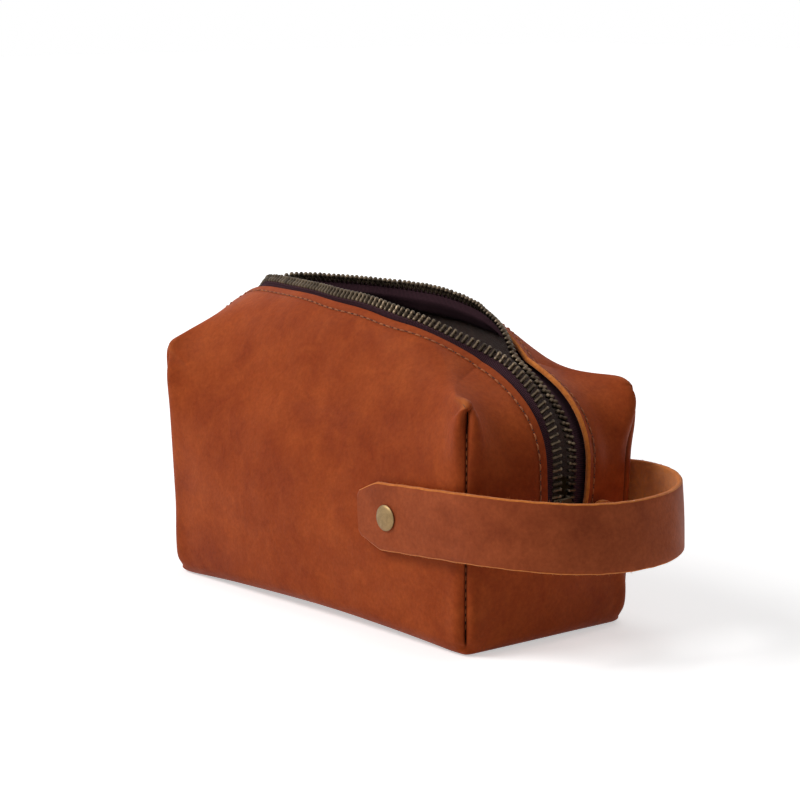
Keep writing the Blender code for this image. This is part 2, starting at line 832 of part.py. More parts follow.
def make_end_thread(name, x_side, collection, material):
    """The thread in the groove of one end seam, under the foot of the slit."""
    seam = end_seam_height / corner_height
    outward = Vector((x_side, 0.0, 0.0))
    shares = [-share for share in reversed(width_row_shares[:-2])] + list(width_row_shares[1:-2])
    depth = seam_groove - thread_rise - thread_radius
    points = [bag_point(x_side, share, seam) - outward * depth for share in shares]
    return make_thread(name, points, collection, material)


def build():
    clear_scene()
    parts = new_collection("toiletry_bag")
    cutters = new_collection("cutters")
    leather = new_material("brown leather", (0.29, 0.088, 0.034), 0.48, 0.0)
    strap_leather = new_material("strap leather", (0.25, 0.075, 0.036), 0.5, 0.0)
    tape = new_material("zipper tape", (0.055, 0.026, 0.030), 0.85, 0.0)
    brass = new_material("antique brass", (0.30, 0.22, 0.13), 0.38, 1.0)
    thread = new_material("rust thread", (0.36, 0.12, 0.05), 0.7, 0.0)

    make_leather_body(parts, leather, cutters)
    for side, word in ((-1.0, "front"), (1.0, "rear")):
        make_tape("zipper_tape_" + word, side, parts, tape)
        make_teeth("zipper_teeth_" + word, side, parts, brass)
        make_zipper_thread("zipper_thread_" + word, side, parts, thread)
        make_rivet(side, parts, brass)
        for x_side, end in ((-1.0, "left"), (1.0, "right")):
            make_corner_thread("corner_thread_%s_%s" % (word, end), x_side, side, parts, thread)
    for x_side, end in ((-1.0, "left"), (1.0, "right")):
        make_end_thread("end_thread_" + end, x_side, parts, thread)
    make_stops(parts, brass)
    make_slider(parts, cutters, brass)
    make_ring(parts, brass)
    make_pull_tab(parts, strap_leather)
    make_strap(parts, cutters, strap_leather)


build()
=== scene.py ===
"""Looks of the open brown leather toiletry bag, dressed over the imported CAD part.

Metres, +Z up, in the CAD part's frame: the bag's length runs along X with the strap
loop at +X, and its front faces -Y.
"""
import json
import math
import random

import bpy
import numpy as np
from mathutils import Euler, Matrix, Vector, noise


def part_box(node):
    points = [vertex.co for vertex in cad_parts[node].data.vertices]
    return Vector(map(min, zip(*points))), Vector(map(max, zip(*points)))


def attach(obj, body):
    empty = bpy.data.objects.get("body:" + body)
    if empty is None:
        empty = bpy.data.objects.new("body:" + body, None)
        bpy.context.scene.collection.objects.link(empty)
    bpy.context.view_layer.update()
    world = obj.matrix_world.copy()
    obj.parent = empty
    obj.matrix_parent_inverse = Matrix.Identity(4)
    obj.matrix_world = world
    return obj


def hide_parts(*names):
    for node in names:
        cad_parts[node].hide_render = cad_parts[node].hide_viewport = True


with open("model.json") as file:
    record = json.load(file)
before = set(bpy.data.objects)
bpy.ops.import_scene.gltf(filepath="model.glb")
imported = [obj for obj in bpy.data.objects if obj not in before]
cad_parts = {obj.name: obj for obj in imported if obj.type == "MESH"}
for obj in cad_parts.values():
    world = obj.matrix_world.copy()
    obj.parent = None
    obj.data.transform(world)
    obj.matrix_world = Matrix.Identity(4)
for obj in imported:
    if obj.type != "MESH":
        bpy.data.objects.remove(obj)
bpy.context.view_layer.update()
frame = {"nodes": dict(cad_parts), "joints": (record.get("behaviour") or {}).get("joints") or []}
JOINTS = {joint["name"]: joint for joint in frame["joints"]}

# Leather body, as in the CAD part
HALF_LENGTH = 0.0954
HALF_WIDTH = 0.0451
CORNER_HEIGHT = 0.1022
CROWN_RISE = 0.0295
WALL = 0.0020
CORNER_RADIUS = 0.0084
BOTTOM_RADIUS = 0.0063
DART_RADIUS = 0.0070
SIDE_ROLL = (0.0254, 0.0597)
RIGHT_ROLL = (0.1059, 0.0392)
LEFT_ROLL = (0.0371, 0.0123)
END_BULGE = 0.0066
SIDE_BULGE = 0.0033
TOP_FLARES = (0.0019, 0.0022)
LOW_TUCK = 0.0016
SIDE_ARCH = 0.0030
END_ARCH = 0.0011
END_SEAM_HEIGHT = 0.0382
OPEN_HALF_WIDTH = 0.0225
CROWN_FOOT_SHARE = 0.35
CROWN_POWERS = (1.76, 0.85)
CROWN_DROOP_SHARE = 0.17
DART_FADE_POWER = 6.8
END_FADE_POWER = 3.6
BULGE_FULL_SHARE = 0.60
BULGE_FOOT_SHARE = 0.39
ARCH_TOP_SHARE = 0.5
SIDE_ARCH_START = 0.55
END_ARCH_START = 0.75
FLOOR_ARCH_SHARE = 0.35
FOOT_SHARES = (0.88, 0.85)
FLARE_MIDDLE_SHARE = 0.4

# Half width of the slit along the zipper, as shares of the widest: 0 is the foot at the
# right end, 1 the right end's top, 3 the left end's top and 4 the foot at the left end
SLIT_PLACES = (0.0, 0.1, 0.25, 0.42, 0.6, 1.0, 1.1, 1.35, 1.7, 2.1, 2.5, 2.8, 3.0, 4.0)
SLIT_SHARES = (0.285, 0.33, 0.39, 0.41, 0.41, 0.48, 0.57, 0.76, 1.0, 0.98, 0.68, 0.38, 0.37, 0.285)
SLIT_SMOOTHING = 0.09
SLIT_FOOT_RUN = 0.0040

# The rear edge lies wider open on the right end, and the rear right seam leans to the end
REAR_SPREAD = 0.0035
REAR_CURL = 0.0014
REAR_SEAM_SHIFT = 0.0080
SEAM_SHIFT_REACH = 0.022

# Zipper
TAPE_THICKNESS = 0.0007
TAPE_COVER = 0.0085
TAPE_GAP = 0.0009
TAPE_SHOW = 0.0039
TOOTH_PITCH = 0.00254
ROW_WIDTH = 0.0036
TOOTH_GAP = 0.0003
ROW_GAPS = (0.0003, 0.0012, 0.0100)
FIRST_TOOTH_RISE = 0.0036
STITCH_INSET = 0.0035
STITCH_PITCH = 0.0040
TAPE_LEAN = math.radians(58.0)
END_TAPE_LEAN = math.radians(24.0)
TOOTH_LEAN = math.radians(16.0)

# Strap, as in the CAD part
STRAP_WIDTH = 0.0265
STRAP_THICKNESS = 0.0021
STRAP_SIDE_GAP = 0.0011
STRAP_TAB_LENGTH = 0.0171
STRAP_REACH = 0.1430
STRAP_SIDE_END = 0.0950
STRAP_INSET = 0.0010
STRAP_PULLS = (0.0200, 0.0360)
STRAP_SAG = 0.0041
STRAP_TILT = math.radians(3.5)
RIVET = Vector((0.0565, 0.0, 0.0492))

TINY = 0.00001
STEP_SHARE = 0.01


# Small helpers

def ease(value):
    value = np.clip(value, 0.0, 1.0)
    return value * value * (3.0 - 2.0 * value)


def mix(first, second, share):
    return first + (second - first) * share


def normalised(vectors):
    return vectors / np.maximum(np.linalg.norm(vectors, axis=-1, keepdims=True), 1e-12)


def add_mesh(name, points, faces, materials, smooth_angle=40.0):
    mesh = bpy.data.meshes.new(name)
    mesh.from_pydata([tuple(point) for point in points], [], [tuple(face) for face in faces])
    for material in materials:
        mesh.materials.append(material)
    mesh.shade_smooth()
    mesh.set_sharp_from_angle(angle=math.radians(smooth_angle))
    item = bpy.data.objects.new(name, mesh)
    bpy.context.scene.collection.objects.link(item)
    return item


def set_attribute(item, name, values):
    attribute = item.data.attributes.new(name, "FLOAT", "POINT")
    attribute.data.foreach_set("value", np.asarray(values, np.float32))


def dress(item, body, slot, *nodes):
    """The piece moves with a CAD body and stands for CAD nodes, which it hides; slot is not used."""
    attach(item, body)
    if nodes:
        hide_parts(*nodes)
    return item


class Shape:
    """Points and faces of a piece that is put together from many small forms."""

    def __init__(self):
        self.points = []
        self.faces = []
        self.kinds = []

    def add(self, points, faces, kind=0):
        start = len(self.points)
        self.points += [tuple(point) for point in points]
        self.faces += [tuple(index + start for index in face) for face in faces]
        self.kinds += [kind] * len(faces)

    def add_loops(self, loops, kind=0, closed=False, caps=True):
        """Skins a list of equal closed loops of points."""
        count, size = len(loops), len(loops[0])
        faces = []
        for row in range(count if closed else count - 1):
            after = (row + 1) % count
            for index in range(size):
                beside = (index + 1) % size
                faces.append((row * size + index, row * size + beside,
                              after * size + beside, after * size + index))
        if caps and not closed:
            faces.append(tuple(reversed(range(size))))
            faces.append(tuple((count - 1) * size + index for index in range(size)))
        self.add([point for loop in loops for point in loop], faces, kind)

    def make(self, name, materials, smooth_angle=40.0):
        item = add_mesh(name, self.points, self.faces, materials, smooth_angle)
        item.data.polygons.foreach_set("material_index", self.kinds)
        return item


def tube_loops(path, radii, sides, up):
    """Loops of points round a path; radii is one number or one a point."""
    path = np.asarray(path, float)
    radii = np.broadcast_to(np.asarray(radii, float), (len(path),))
    tangents = normalised(np.gradient(path, axis=0))
    across = normalised(np.cross(np.broadcast_to(np.asarray(up, float), path.shape), tangents))
    over = np.cross(tangents, across)
    turns = np.arange(sides) * 2.0 * math.pi / sides
    ring = np.cos(turns)[None, :, None] * across[:, None, :] + np.sin(turns)[None, :, None] * over[:, None, :]
    return path[:, None, :] + ring * radii[:, None, None]


# The leather surface

def roll_corner(first, second, first_start, second_start, first_radius, second_radius):
    first_part = np.maximum(first - first_start, 0.0) / first_radius
    second_part = np.maximum(second - second_start, 0.0) / second_radius
    bent = (first_part > 0.0) & (second_part > 0.0)
    length = np.where(bent, np.hypot(first_part, second_part), 1.0)
    shrink = np.maximum(first_part, second_part) / length
    return (np.where(bent, first_start + first_part * shrink * first_radius, first),
            np.where(bent, second_start + second_part * shrink * second_radius, second))


def slit_place(along, height):
    """Place along the zipper, 0 to 4, of a point on the box's skin."""
    foot = END_SEAM_HEIGHT / CORNER_HEIGHT
    rise = (height - foot) / (1.0 - foot)
    on_top = height >= 1.0 - TINY
    return np.where(on_top, 2.0 - along, np.where(along > 0.0, rise, 4.0 - rise))


def lip_half_width(along, height, across=-1.0):
    place = slit_place(along, height)
    shifts = np.linspace(-SLIT_SMOOTHING, SLIT_SMOOTHING, 9)
    shares = np.mean([np.interp(place + shift, SLIT_PLACES, SLIT_SHARES) for shift in shifts], axis=0)
    above = (height * CORNER_HEIGHT - END_SEAM_HEIGHT) / SLIT_FOOT_RUN
    foot = np.sqrt(np.clip(above, 0.0, 1.0) * (2.0 - np.clip(above, 0.0, 1.0)))
    spread = np.where(np.asarray(across) > 0.0, REAR_SPREAD, 0.0)
    spread = spread * ease(place / 0.22) * (1.0 - ease((place - 0.55) / 0.75))
    cut = (np.abs(along) >= 1.0 - TINY) | (height >= 1.0 - TINY)
    return np.where(cut & (height > 0.0), (shares * OPEN_HALF_WIDTH + spread) * foot, 0.0)


def lean_rear_seam(along, across, height):
    """Slides the rear right corner seam round the corner toward the end face."""
    along, across, height = np.broadcast_arrays(along, across, height)
    z = height * CORNER_HEIGHT
    shift = REAR_SEAM_SHIFT * ease((z - 0.012) / 0.022) * (1.0 - ease((z - 0.068) / 0.022))
    room = HALF_WIDTH - lip_half_width(np.ones(z.shape), height, np.ones(z.shape))
    on_end = along >= 1.0 - TINY
    place = np.where(on_end, (1.0 - across) * room, (along - 1.0) * HALF_LENGTH)
    shift = shift * (1.0 - ease((place / room - 0.35) / 0.50))
    place = place + shift * np.exp(-(place / SEAM_SHIFT_REACH) ** 2)
    moved = (shift > 0.0) & (across > TINY) & (along > 0.0) & (on_end | (across >= 1.0 - TINY))
    return (np.where(moved, np.where(place < 0.0, 1.0 + place / HALF_LENGTH, 1.0), along),
            np.where(moved, np.where(place > 0.0, np.maximum(1.0 - place / room, TINY), 1.0), across))


def box_to_bag(along, across, height):
    """Places points of a box's skin on the leather's outer face, as the CAD part does."""
    along, across, height = np.broadcast_arrays(*(np.asarray(value, float) for value in (along, across, height)))
    x_side = np.where(along < 0.0, -1.0, 1.0)
    y_side = np.where(across < 0.0, -1.0, 1.0)
    x = np.abs(along) * HALF_LENGTH
    y = mix(lip_half_width(along, height, across), HALF_WIDTH, np.abs(across))
    z = height * CORNER_HEIGHT
    x, y = roll_corner(x, y, HALF_LENGTH - CORNER_RADIUS, HALF_WIDTH - CORNER_RADIUS,
                       CORNER_RADIUS, CORNER_RADIUS)
    x_share = x / HALF_LENGTH
    y_share = y / HALF_WIDTH
    fade = x_share ** DART_FADE_POWER
    depth = mix(SIDE_ROLL[0], DART_RADIUS, fade)
    rise = mix(SIDE_ROLL[1], DART_RADIUS, fade)
    y, z = roll_corner(y, z, HALF_WIDTH - depth, CORNER_HEIGHT - rise, depth, rise)
    fade = y_share ** END_FADE_POWER
    run = mix(np.where(x_side > 0.0, RIGHT_ROLL[0], LEFT_ROLL[0]), DART_RADIUS, fade)
    drop = mix(np.where(x_side > 0.0, RIGHT_ROLL[1], LEFT_ROLL[1]), DART_RADIUS, fade)
    x, z = roll_corner(x, z, HALF_LENGTH - run, CORNER_HEIGHT - drop, run, drop)
    low = CORNER_HEIGHT - z
    low_start = CORNER_HEIGHT - BOTTOM_RADIUS
    y, low = roll_corner(y, low, HALF_WIDTH - BOTTOM_RADIUS, low_start, BOTTOM_RADIUS, BOTTOM_RADIUS)
    x, low = roll_corner(x, low, HALF_LENGTH - BOTTOM_RADIUS, low_start, BOTTOM_RADIUS, BOTTOM_RADIUS)
    z = CORNER_HEIGHT - low
    z_share = z / CORNER_HEIGHT
    power = mix(CROWN_POWERS[0], CROWN_POWERS[1], x_share * x_share)
    crown = CROWN_RISE * (1.0 - y_share ** power)
    crown *= ease((z_share - CROWN_FOOT_SHARE) / (1.0 - CROWN_FOOT_SHARE))
    z = z + crown * (1.0 - CROWN_DROOP_SHARE * ease(x_share))
    side_edge = ease((y_share - SIDE_ARCH_START) / (1.0 - SIDE_ARCH_START))
    end_edge = ease((x_share - END_ARCH_START) / (1.0 - END_ARCH_START))
    arch = SIDE_ARCH * np.maximum(1.0 - (x_share / FOOT_SHARES[0]) ** 2, 0.0) * mix(FLOOR_ARCH_SHARE, 1.0, side_edge)
    arch += END_ARCH * np.maximum(1.0 - (y_share / FOOT_SHARES[1]) ** 2, 0.0) * mix(FLOOR_ARCH_SHARE, 1.0, end_edge)
    z = z + arch * (1.0 - ease(z_share / ARCH_TOP_SHARE))
    fullness = mix(BULGE_FOOT_SHARE, 1.0, ease(z_share / BULGE_FULL_SHARE))
    end_part = ease((x / HALF_LENGTH) ** 2)
    side_part = ease((y / HALF_WIDTH) ** 2)
    x = x + END_BULGE * (1.0 - y_share ** 2) * fullness * end_part
    y = y + SIDE_BULGE * (1.0 - x_share ** 2) * np.sin(math.pi * np.minimum(z_share, 1.0)) * side_part
    flare = 2.0 * np.minimum(z_share, 1.0) - 1.0
    flare = flare * np.where(flare < 0.0, LOW_TUCK, mix(TOP_FLARES[0], TOP_FLARES[1], (x_side * x_share + 1.0) / 2.0))
    y = y + flare * y_share ** 3 * mix(FLARE_MIDDLE_SHARE, 1.0, x_share ** 3)
    x = x + flare * x_share ** 3 * y_share ** 2
    return np.stack([x_side * x, y_side * y, z], axis=-1)


# Soft shape of the leather over the CAD surface

WAVE_SIZE = 0.055
WAVE_HEIGHT = 0.0011
RIPPLE_SIZE = 0.016
RIPPLE_HEIGHT = 0.00022


def soft_waves(points):
    """Gentle unevenness of the leather, zero at the foot of the bag."""
    result = np.zeros(len(points))
    for index, point in enumerate(points):
        place = Vector(point)
        wave = noise.noise(place / WAVE_SIZE + Vector((3.1, 7.7, 1.9))) * WAVE_HEIGHT
        ripple = noise.noise(place / RIPPLE_SIZE + Vector((9.0, 2.5, 4.2))) * RIPPLE_HEIGHT
        result[index] = (wave + ripple) * min(max(place.z / 0.012, 0.0), 1.0)
    return result


def strap_shadow(points):
    """1 where the strap passes close over the leather, 0 elsewhere."""
    height = 1.0 - ease((np.abs(points[:, 2] - 0.052) - 0.018) / 0.010)
    return height * ease((points[:, 0] - 0.028) / 0.010)


CORNER_ROWS = (0.0, 0.0003, 0.0006, 0.0010, 0.0015, 0.0022, 0.0032, 0.0045, 0.0061, 0.0082)
LIP_ROWS = (0.0, 0.0005, 0.0014, 0.0024, 0.0031, 0.0036, 0.0043, 0.0054, 0.0070, 0.0092)
MIDDLE_ROWS_LONG = 46
MIDDLE_ROWS_WIDE = 9
HEIGHT_ROWS = (0.0, 0.0008, 0.0022, 0.0040, 0.0055, 0.0070, 0.0090, 0.0125, 0.0170, 0.0220, 0.0270, 0.0315,
               0.0350, 0.0370, 0.0378, 0.0382, 0.0386, 0.0394, 0.0404, 0.0422, 0.0450, 0.0490, 0.0530,
               0.0570, 0.0610, 0.0650, 0.0690, 0.0730, 0.0770, 0.0805, 0.0835, 0.0860, 0.0880, 0.0898,
               0.0914, 0.0929, 0.0943, 0.0956, 0.0968, 0.0979, 0.0990, 0.1001, 0.1012, 0.1022)


def length_rows():
    middle = np.linspace(-1.0, 1.0, MIDDLE_ROWS_LONG + 1) * (HALF_LENGTH - CORNER_ROWS[-1])
    right = [HALF_LENGTH - row for row in reversed(CORNER_ROWS[:-1])]
    left = [-row for row in reversed(right)]
    return np.array(left + list(middle) + right) / HALF_LENGTH


def share_at(along, height, side, distances):
    """Shares across, counted from the lip, at distances measured over the skin."""
    shares = np.linspace(0.0, 0.5, 51)
    points = box_to_bag(along[:, None], side[:, None] * np.maximum(shares, TINY), height[:, None])
    steps = np.linalg.norm(np.diff(points, axis=1), axis=2)
    runs = np.concatenate([np.zeros((len(along), 1)), np.cumsum(steps, axis=1)], axis=1)
    return np.array([np.interp(distances, run, shares) for run in runs])


def width_rows(along, height, side):
    """Shares from the lip (0) to the corner (1), with rows at set distances from both."""
    room = HALF_WIDTH - lip_half_width(along, height, side)
    inner = share_at(along, height, side, LIP_ROWS)
    outer = 1.0 - np.array(CORNER_ROWS[::-1])[None, :] / room[:, None]
    middle = np.linspace(inner[:, -1], outer[:, 0], MIDDLE_ROWS_WIDE + 2, axis=1)[:, 1:-1]
    return np.concatenate([inner, middle, outer], axis=1)


SEAM_TOP = 0.0938
FAR_CORNER_STRENGTH = 0.35


def seam_strength(along, across):
    """The near corner is puffed most; the others are drawn in less."""
    return np.where((along > 0.0) & (across < 0.0), 1.0, FAR_CORNER_STRENGTH)


def seam_press(along_gap, across_gap, level, strength):
    """How far the leather is drawn in or puffed out near a corner seam.

    The gaps are distances over the skin from the seam on the side and the end face,
    and level is the height on the box before it's rounded. Returns the push along the
    corner's outward direction, and 0 to 1 masks of the cleft, which the colour darkens as
    painted shade, and of the crest over its top, which the colour makes paler as a painted highlight.
    """
    gap = np.hypot(along_gap, across_gap)
    over = np.maximum(level - SEAM_TOP, 0.0)
    reach = np.hypot(gap, over)
    foot = ease((level - 0.0025) / 0.0035)
    pinch = np.exp(-((level - SEAM_TOP + 0.0024) / 0.0046) ** 2)
    low_pinch = np.exp(-((level - 0.0085) / 0.0040) ** 2)
    depth = 0.0016 + 0.0030 * pinch * strength + 0.0010 * low_pinch
    depth = depth * mix(1.0 - 0.75 * ease((level - 0.068) / 0.018), 1.0, strength)
    cleft = np.exp(-reach / mix(0.0007, 0.0016, pinch * strength)) * foot
    puff = 0.0006 + 0.0022 * ease((level - 0.070) / 0.020) * strength
    puff = puff + 0.0009 * (1.0 - ease((level - 0.014) / 0.018))
    puff = puff * ease((level - 0.002) / 0.008)
    crest = np.exp(-((reach - 0.0044) / 0.0034) ** 2)
    push = puff * crest - depth * cleft
    # Painted highlight: a mask for paler colour on the ring over the seam's top, where the rolled leather catches
    # light.
    crest_highlight = np.exp(-((reach - 0.0060) / 0.0030) ** 2) * ease((over - 0.0030) / 0.0030) * strength
    return push, np.clip(cleft, 0.0, 1.0), crest_highlight * np.exp(-(gap / 0.0050) ** 2)


def rear_curl(along, across, height, lip_gap):
    """The rear edge bends outward where it lies wide open, so that its cut edge shows."""
    place = slit_place(along, height)
    window = ease(place / 0.20) * (1.0 - ease((place - 0.60) / 0.70))
    return np.where(across > 0.0, REAR_CURL * window * np.exp(-lip_gap / 0.0030), 0.0)


def smooth_skin(item, points, hold):
    """Evens out the sheet where it isn't held by a seam, a lip or the foot."""
    edges = np.zeros(len(item.data.edges) * 2, np.int32)
    item.data.edges.foreach_get("vertices", edges)
    first, second = edges[0::2], edges[1::2]
    count = len(points)
    links = np.bincount(first, minlength=count) + np.bincount(second, minlength=count)
    for _ in range(24):
        total = np.zeros((count, 3))
        for axis in range(3):
            total[:, axis] = (np.bincount(first, points[second, axis], minlength=count)
                              + np.bincount(second, points[first, axis], minlength=count))
        points = mix(points, total / links[:, None], 0.5 * (1.0 - hold)[:, None])
    return points


class SkinGrid:
    """The box's skin as a grid of keyed points, both halves, open along the slit."""

    def __init__(self):
        self.along = length_rows()
        self.heights = np.array(HEIGHT_ROWS) / CORNER_HEIGHT
        rows = len(LIP_ROWS) + MIDDLE_ROWS_WIDE + len(CORNER_ROWS)
        self.last = (len(self.along) - 1, rows - 1, len(self.heights) - 1)
        self.index = {}
        self.keys = []
        self.faces = []
        self.build()

    def key(self, i, j, k, side):
        on_lip = k > 0 and self.heights[k] * CORNER_HEIGHT > END_SEAM_HEIGHT + TINY and (
            i in (0, self.last[0]) or k == self.last[2])
        half = 0 if j == 0 and not on_lip else side
        key = (i, j, k, half)
        if key not in self.index:
            self.index[key] = len(self.keys)
            self.keys.append(key)
        return self.index[key]

    def add_face(self, corners, side):
        face = [self.key(*corner, side) for corner in corners]
        self.faces.append(face if side > 0 else face[::-1])

    def build(self):
        last_i, last_j, last_k = self.last
        for side in (1, -1):
            for i in range(last_i):
                for k in range(last_k):
                    self.add_face([(i + 1, last_j, k), (i, last_j, k), (i, last_j, k + 1), (i + 1, last_j, k + 1)], side)
                for j in range(last_j):
                    self.add_face([(i, j, 0), (i, j + 1, 0), (i + 1, j + 1, 0), (i + 1, j, 0)], side)
                    self.add_face([(i, j, last_k), (i + 1, j, last_k), (i + 1, j + 1, last_k), (i, j + 1, last_k)], side)
            for j in range(last_j):
                for k in range(last_k):
                    self.add_face([(last_i, j, k), (last_i, j + 1, k), (last_i, j + 1, k + 1), (last_i, j, k + 1)], side)
                    self.add_face([(0, j, k), (0, j, k + 1), (0, j + 1, k + 1), (0, j + 1, k)], side)

    def shares(self):
        """Along, across (signed) and height of every point."""
        keys = np.array(self.keys)
        along, height = self.along[keys[:, 0]], self.heights[keys[:, 2]]
        side = np.where(keys[:, 3] < 0, -1.0, 1.0)
        places = np.stack([keys[:, 0], keys[:, 2], side.astype(int)], axis=1)
        stations, station = np.unique(places, axis=0, return_inverse=True)
        rows = width_rows(self.along[stations[:, 0]], self.heights[stations[:, 1]], stations[:, 2].astype(float))
        across = side * rows[station.ravel(), keys[:, 1]]
        across = np.where((keys[:, 1] == 0) & (keys[:, 3] != 0), side * TINY, across)
        return along, across, height


def make_body(materials):
    grid = SkinGrid()
    along, across, height = grid.shares()
    points = box_to_bag(*lean_rear_seam(along, across, height), height)
    item = add_mesh("leather_shell", points, grid.faces, materials, 180.0)
    room = HALF_WIDTH - lip_half_width(along, height, across)
    along_gap = (1.0 - np.abs(along)) * HALF_LENGTH
    across_gap = (1.0 - np.abs(across)) * room
    lip_gap = np.abs(across) * room
    on_slit = (height * CORNER_HEIGHT > END_SEAM_HEIGHT) & ((np.abs(along) >= 1.0 - TINY) | (height >= 1.0 - TINY))
    above = np.maximum(height * CORNER_HEIGHT - SEAM_TOP, 0.0)
    seam_reach = np.sqrt(along_gap ** 2 + across_gap ** 2 + above ** 2)
    hold = 1.0 - ease((seam_reach - 0.004) / 0.010)
    hold = np.maximum(hold, np.where(on_slit, 1.0 - ease((lip_gap - 0.006) / 0.012), 0.0))
    hold = np.maximum(hold, 1.0 - ease((points[:, 2] - 0.010) / 0.012))
    points = smooth_skin(item, points, hold)
    item.data.vertices.foreach_set("co", points.ravel())
    item.data.update()
    normals = np.zeros(len(points) * 3)
    item.data.vertices.foreach_get("normal", normals)
    normals = normals.reshape(-1, 3)
    strength = seam_strength(along, across)
    push, cleft, crest = seam_press(along_gap, across_gap, height * CORNER_HEIGHT, strength)
    outward = normalised(np.stack([np.sign(along), np.sign(across), np.zeros(len(along))], axis=-1))
    on_seam = np.exp(-np.maximum(along_gap, across_gap) / 0.0030)[:, None]
    ways = normalised(normals * (1.0 - on_seam) + outward * on_seam)
    near_strap = strap_shadow(points)
    push = np.where(push > 0.0, push * (1.0 - 0.8 * near_strap), push)
    near_corner = np.exp(-(np.maximum(along_gap, across_gap) / 0.012) ** 2)
    waves = soft_waves(points) * (1.0 - 0.7 * near_strap) * (1.0 - 0.7 * near_corner)
    row = np.argmin(np.abs(np.array(LIP_ROWS) - STITCH_INSET))
    stitch_rows = np.interp(np.array(grid.keys)[:, 1], np.arange(len(LIP_ROWS)), LIP_ROWS, right=1.0)
    channel = np.where(on_slit, np.exp(-((stitch_rows - LIP_ROWS[row]) / 0.0010) ** 2), 0.0)
    seam_gap = np.abs(height * CORNER_HEIGHT - END_SEAM_HEIGHT)
    on_end = np.abs(along) >= 1.0 - TINY
    # The end seam groove also joins the cleft mask, which the colour darkens as painted shade.
    end_seam = np.where(on_end, np.exp(-seam_gap / 0.0007) * ease(across_gap / 0.004), 0.0)
    end_seam *= 1.0 - 0.85 * (lip_half_width(along, height, across) > 0.0)
    curl = np.where(on_slit, rear_curl(along, across, height, lip_gap), 0.0)
    moved = points + ways * push[:, None]
    moved += normals * (waves + curl - 0.00028 * channel - 0.0012 * end_seam)[:, None]
    moved[:, 2] = np.maximum(moved[:, 2], 0.0)
    item.data.vertices.foreach_set("co", moved.ravel())
    item.data.update()
    # cleft carries the painted shade of the seam grooves, crest the painted highlight over the seam tops, and channel
    # the painted shade of the stitch channels.
    set_attribute(item, "cleft", np.clip(cleft + end_seam, 0.0, 1.0))
    set_attribute(item, "crest", crest)
    set_attribute(item, "channel", channel)
    smooth = item.modifiers.new("smooth", "SUBSURF")
    smooth.levels = smooth.render_levels = 1
    shell = item.modifiers.new("thickness", "SOLIDIFY")
    shell.thickness = WALL
    sheet = item.vertex_groups.new(name="sheet")
    for number, near in enumerate(np.exp(-(np.hypot(along_gap, across_gap) / 0.0060) ** 2)):
        sheet.add([number], float(1.0 - 0.85 * near), "REPLACE")
    shell.vertex_group = "sheet"
    shell.offset = -1.0
    # Inner faces take the flesh side darkened as painted shade; the rim takes the cut edge.
    shell.material_offset = 1
    shell.material_offset_rim = 2
    return dress(item, "bag", "leather", "leather_body")


# The zipper's path

